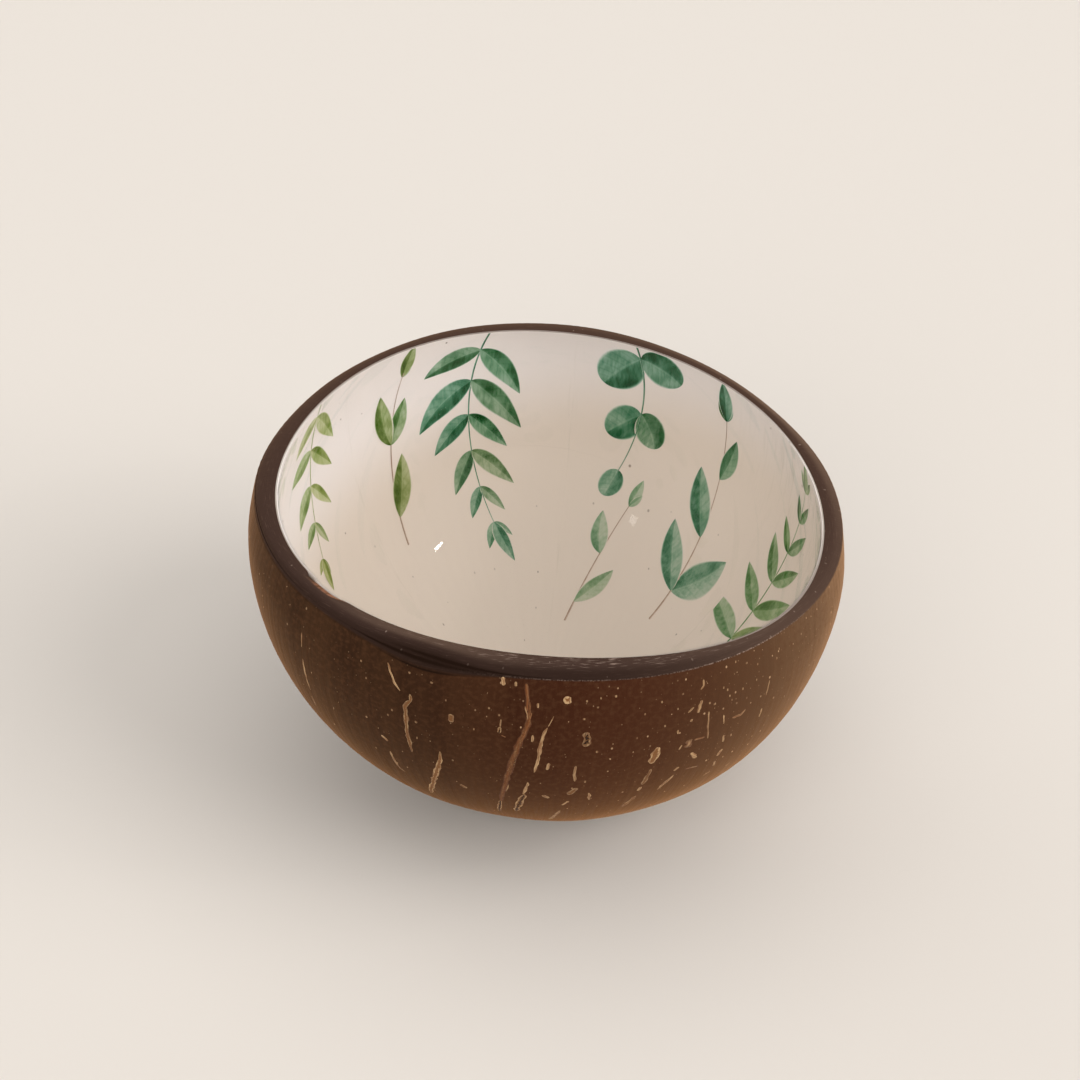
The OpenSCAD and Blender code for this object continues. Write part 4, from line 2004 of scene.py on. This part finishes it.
@dataclass
class LeafPrint:
    """Sprigs printed on one piece of tissue, cut off where the paper is cut.

    The number is the wall piece's own, or 0 for the bottom disc.
    """

    lining: Lining
    number: int
    disc_cuts: int = 36
    seed: int = 21
    along: int = 24
    across: int = 12
    stem_w: float = 0.0005
    stem_steps: int = 30
    stem_across: int = 3
    stem_taper: Pair = (1.1, 0.45)
    line_steps: int = 200
    leafy: Pair = (0.16, 0.97)
    one_sided: float = 0.45
    lengths: Pair = (0.85, 1.15)
    spreads: Pair = (1.1, 0.5)
    spread_wander: float = 0.09
    other_ink: float = 0.4
    curls: Pair = (0.1, 0.5)
    tip_size: float = 0.55
    tip_curl: float = 0.1
    ink_lift: float = 0.00002
    layer: float = 0.000005
    layers: int = 9
    margin: float = 0.0006
    top_margin: float = 0.0003
    least: float = 0.00004
    cut_gap: float = 0.0000001

    def stem(self, sprig: Sprig, shares: Array) -> tuple[Array, Array]:
        """Gives the stem's line on the flat paper.

        Args:
            sprig: The sprig.
            shares: Shares of the way along it.

        Returns:
            Points on the paper and headings.
        """
        fine = np.linspace(0, 1, self.line_steps)
        turn = (math.radians(sprig.aim) + sprig.bend * fine)[:-1]
        sums = (np.append(0, np.cumsum(steps)) for steps in (np.sin(turn), np.cos(turn)))
        line = [np.interp(shares, fine, total * sprig.length / len(turn)) for total in sums]
        return np.stack(line, -1) + np.array(sprig.root), math.radians(sprig.aim) + sprig.bend * shares

    def strip(self, line: Array, half: Array, steps: int) -> tuple[Array, Array]:
        """Makes a flat strip about a line.

        Args:
            line: Points of the line.
            half: Half widths along it.
            steps: Points across it.

        Returns:
            Points of the strip and their coordinates along and across.
        """
        ahead = np.gradient(line, axis=0)
        ahead /= np.linalg.norm(ahead, axis=1, keepdims=True)
        side = np.stack([ahead[:, 1], -ahead[:, 0]], -1)
        spots = np.linspace(-1, 1, steps)
        points = line[:, None] + side[:, None] * (half[:, None] * spots)[..., None]
        shares = np.linspace(0, 1, len(line))
        return points, np.stack(np.broadcast_arrays(shares[:, None], spots[None]), -1)

    def leaf(self, sprig: Sprig, root: Array, heading: float, length: float,
             curl: float) -> tuple[Array, Array]:
        """Makes one flat leaf.

        Args:
            sprig: The sprig that it grows on.
            root: Where it grows from.
            heading: Its direction at the root.
            length: Its length.
            curl: How far its tip is turned.

        Returns:
            Its points and their coordinates.
        """
        shares = (1 - np.cos(np.linspace(0, np.pi, self.along))) / 2
        turn = (heading + curl * shares)[:-1]
        steps = np.stack([np.sin(turn), np.cos(turn)], -1) * length * np.diff(shares)[:, None]
        line = root + np.concatenate([np.zeros((1, 2)), np.cumsum(steps, 0)])
        half = np.maximum(sprig.motif.half_width(shares) * length, self.least)
        return self.strip(line, half, self.across)

    def shapes(self, sprig: Sprig, rng: np.random.Generator) -> list[tuple[Array, Array, Quad]]:
        """Draws a sprig on the flat paper.

        Args:
            sprig: The sprig.
            rng: Where its small differences come from.

        Returns:
            For each shape, its points, their coordinates and its ink.
        """
        twig = Pigment.TWIG if sprig.motif is Motif.LANCE else sprig.pigment
        line, _ = self.stem(sprig, np.linspace(0, 1, self.stem_steps))
        taper = self.stem_w / 2 * np.linspace(*self.stem_taper, self.stem_steps)
        drawn = [(*self.strip(line, taper, self.stem_across), linear(twig.value))]
        shares = np.linspace(*self.leafy, sprig.pairs)
        roots, headings = self.stem(sprig, shares)
        spread = math.radians(sprig.motif.value[2])
        inks = [pigment for pigment in Pigment if pigment is not Pigment.TWIG]
        for i, (root, heading, share) in enumerate(zip(roots, headings, shares)):
            if sprig.motif is Motif.COIN and i == sprig.pairs - 1:
                continue
            size = sprig.leaf * leaf_size(share)
            for hand in (-1, 1):
                odd_side = sprig.motif is not Motif.FROND and (i % 2 == 0) == (hand > 0)
                if odd_side and rng.random() < self.one_sided:
                    continue
                length = size * rng.uniform(*self.lengths)
                lean = spread * (self.spreads[0] - self.spreads[1] * share)
                angle = heading + hand * (lean + rng.normal(0, self.spread_wander))
                ink = np.array(linear(sprig.pigment.value))
                other = np.array(linear(inks[int(rng.integers(len(inks)))].value))
                ink = ink + (other - ink) * rng.uniform(0, self.other_ink)
                flat = self.leaf(sprig, root, angle, length, -hand * rng.uniform(*self.curls))
                drawn.append((*flat, tuple(ink)))
        tip = self.leaf(sprig, roots[-1], headings[-1], sprig.leaf * self.tip_size, self.tip_curl)
        drawn.append((*tip, linear(sprig.pigment.value)))
        return drawn

    def build(self) -> Piece:
        """Prints all the sprigs.

        Returns:
            The print as one piece.
        """
        rng = np.random.default_rng(self.seed + self.number)
        sheet = bmesh.new()
        skin = sheet.loops.layers.uv.new(SKIN_UV)
        inks = sheet.verts.layers.float_color.new("ink")
        count = 0
        for sprig in (sprig for sprig in SPRIGS if sprig.gore == self.number):
            for points, coords, ink in self.shapes(sprig, rng):
                rows, columns = points.shape[:2]
                lift = self.ink_lift + self.layer * (count % self.layers)
                flat = self.unroll(points.reshape(-1, 2))
                verts = [sheet.verts.new((x, y, lift)) for x, y in flat]
                for vert in verts:
                    vert[inks] = ink
                for quad in grid_faces(rows, columns, 0, False, False):
                    face = sheet.faces.new([verts[i] for i in quad])
                    for loop, i in zip(face.loops, quad):
                        loop[skin].uv = coords.reshape(-1, 2)[i]
                count += 1
        for spot, way in self.cuts():
            parts = sheet.verts[:] + sheet.edges[:] + sheet.faces[:]
            bmesh.ops.bisect_plane(sheet, geom=parts, dist=self.cut_gap, plane_co=spot, plane_no=way,
                                   clear_outer=True)
        for vert, spot in zip(sheet.verts, self.lay(np.array([vert.co for vert in sheet.verts]))):
            vert.co = spot
        sheet.normal_update()
        mesh = bpy.data.meshes.new(f"leaf_print_{self.number}")
        sheet.to_mesh(mesh)
        sheet.free()
        mesh.shade_smooth()
        return put_in_scene(mesh.name, mesh)

    @property
    def middle(self) -> float:
        """Direction of the wall piece's middle."""
        return self.lining.form.seam_turn + (self.number - 0.5) * self.lining.form.gore_turn

    def unroll(self, flat: Array) -> Array:
        """Turns the widths of flat paper points into turns, where the paper is a wall piece.

        Args:
            flat: The points.

        Returns:
            Turns and lengths up the paper, or the points of the disc as they are.
        """
        if self.number == 0:
            return flat
        form, lean = self.lining.form, self.lining.lean_at_run(flat[:, 1])
        reach = form.skin_r(form.tissue_in, lean, np.full_like(lean, self.middle))
        return np.stack([flat[:, 0] / reach, flat[:, 1]], -1)

    def lay(self, flat: Array) -> Array:
        """Lays unrolled points with their lifts on the paper in the bowl.

        Args:
            flat: The points.

        Returns:
            The points in the bowl's frame.
        """
        turn, run = self.middle + flat[:, 0], flat[:, 1]
        if self.number == 0:
            turn, run = np.arctan2(flat[:, 1], flat[:, 0]), np.hypot(flat[:, 0], flat[:, 1])
        return self.lining.paper(turn, self.lining.lean_at_run(run), flat[:, 2])

    def cuts(self) -> list[tuple[Triple, Triple]]:
        """Lists the planes that cut off a print at the edges of its paper.

        Returns:
            A point and an outward direction for each cut.
        """
        form, lining = self.lining.form, self.lining
        low = float(lining.run_at(form.lean_at_disc(form.tissue_in)))
        if self.number == 0:
            ways = [(math.cos(a), math.sin(a), 0.0)
                    for a in np.arange(self.disc_cuts) * FULL_TURN / self.disc_cuts]
            return [(tuple((low - self.margin) * w for w in way), way) for way in ways]
        half = form.gore_turn / 2 - self.margin / form.girth_r
        rim = float(lining.run_at(form.lean_at(form.tissue_in, form.bowl_h)))
        width = np.linspace(-0.5, 0.5, 2 * self.along) * form.gore_turn
        high = rim - float(lining.drop(self.middle + width).max()) - self.top_margin
        return [((half, 0, 0), (1, 0, 0)), ((-half, 0, 0), (-1, 0, 0)),
                ((0, high, 0), (0, 1, 0)), ((0, low, 0), (0, -1, 0))]


# Studio


def sky_way(turn: float, height: float) -> Vector:
    """Gives the direction of a place in the sky from its turn and its height in degrees."""
    turn, height = math.radians(turn), math.radians(height)
    return Vector((math.cos(height) * math.cos(turn), math.cos(height) * math.sin(turn), math.sin(height)))


@dataclass(frozen=True)
class Lamp:
    """A soft lamp far off, which the gloss doesn't mirror: its place, width and strength."""

    name: str
    turn: float
    height: float
    width: float
    strength: float

    def build(self) -> None:
        """Makes the lamp."""
        light = bpy.data.lights.new(self.name, "SUN")
        light.energy = self.strength
        light.angle = math.radians(self.width)
        lamp = put_in_scene(self.name, light)
        lamp.rotation_euler = sky_way(self.turn, self.height).to_track_quat("Z", "Y").to_euler()
        lamp.visible_glossy = False


@dataclass(frozen=True)
class Strip:
    """A small bright strip lamp, which shows as a sharp highlight in the clear gloss."""

    name: str
    turn: float
    height: float
    reach: float
    size: Pair
    power: float
    slant: float = 0.0

    def build(self) -> None:
        """Makes the lamp, turned to the bowl."""
        light = bpy.data.lights.new(self.name, "AREA")
        light.shape = "RECTANGLE"
        light.size, light.size_y = self.size
        light.energy = self.power
        lamp = put_in_scene(self.name, light)
        way = sky_way(self.turn, self.height)
        lamp.location = way * self.reach
        aim = way.to_track_quat("Z", "Y") @ Quaternion((0, 0, 1), math.radians(self.slant))
        lamp.rotation_euler = aim.to_euler()


@dataclass(frozen=True)
class Studio:
    """Pale floor, even sky and soft lamps."""

    sky: str = "#ffffff"
    sky_strength: float = 0.38
    floor_half: float = 4.0
    floor_gap: float = 0.0001
    lamps: tuple[Lamp, ...] = (
        Lamp("key_lamp", -9.5, 37.5, 45.0, 1.26),
        Lamp("fill_lamp", -112.0, 28.0, 50.0, 1.15),
        Lamp("top_lamp", 90.0, 82.0, 60.0, 0.78),
        Lamp("side_lamp", -4.0, 8.0, 30.0, 0.97),
        Lamp("left_lamp", 165.0, 35.0, 60.0, 0.48),
    )
    strips: tuple[Strip, ...] = (
        Strip("key_strip", -7.04, 40.23, 0.887, (0.07, 0.016), 0.2, -14.0),
        Strip("fill_strip", -136.77, 36.94, 0.878, (0.05, 0.06), 0.04),
    )

    def build(self) -> None:
        """Makes the floor, the sky and the lamps."""
        bpy.context.scene.view_settings.view_transform = "Standard"
        half, low = self.floor_half, -self.floor_gap
        corners = [(-half, -half, low), (half, -half, low), (half, half, low), (-half, half, low)]
        mesh = bpy.data.meshes.new("floor")
        mesh.from_pydata(corners, [], [(0, 1, 2, 3)])
        mesh.materials.append(StudioFloor().material())
        floor = put_in_scene("floor", mesh)
        for lamp in self.lamps + self.strips:
            lamp.build()
        self._sky()

    def _sky(self) -> None:
        """Wires a sky that lights evenly and shows the floor's own colour."""
        world = bpy.data.worlds.new("studio_sky")
        world.use_nodes = True
        bpy.context.scene.world = world
        graph = Graph(world.node_tree)
        light = world.node_tree.nodes["Background"]
        graph.feed(light, {"Color": self.sky, "Strength": self.sky_strength})
        shown = graph.node("Background", {"Color": StudioFloor().tone, "Strength": 1.0})
        path = graph.node("LightPath").outputs
        seen = graph.math("MAXIMUM", path["Is Camera Ray"], path["Is Glossy Ray"])
        seen = graph.math("MAXIMUM", seen, path["Is Transmission Ray"])
        mix = graph.node("MixShader", {0: seen, 1: light.outputs[0], 2: shown.outputs[0]})
        graph.feed(world.node_tree.nodes["World Output"], {"Surface": mix.outputs[0]})


def main() -> None:
    """Builds the bowl's pieces in order and sets them in the studio."""
    logging.basicConfig(level=logging.INFO, format="%(name)s: %(message)s")
    form = BowlForm(bowl_h=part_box("coconut_shell")[1].z)
    view = PhotoView()
    view.build()
    shell = Shell(form, view)
    fit_piece(shell.build(), VarnishedShell(), "shell", "coconut_shell")
    fit_piece(HuskFibres(shell).build(), HuskFibre(), "shell")
    lining = Lining(shell)
    lining.build()
    for number in range(form.gore_count + 1):
        fit_piece(LeafPrint(lining, number).build(), LeafInk(), "tissue")
    Studio().build()


if __name__ == "__main__":
    main()
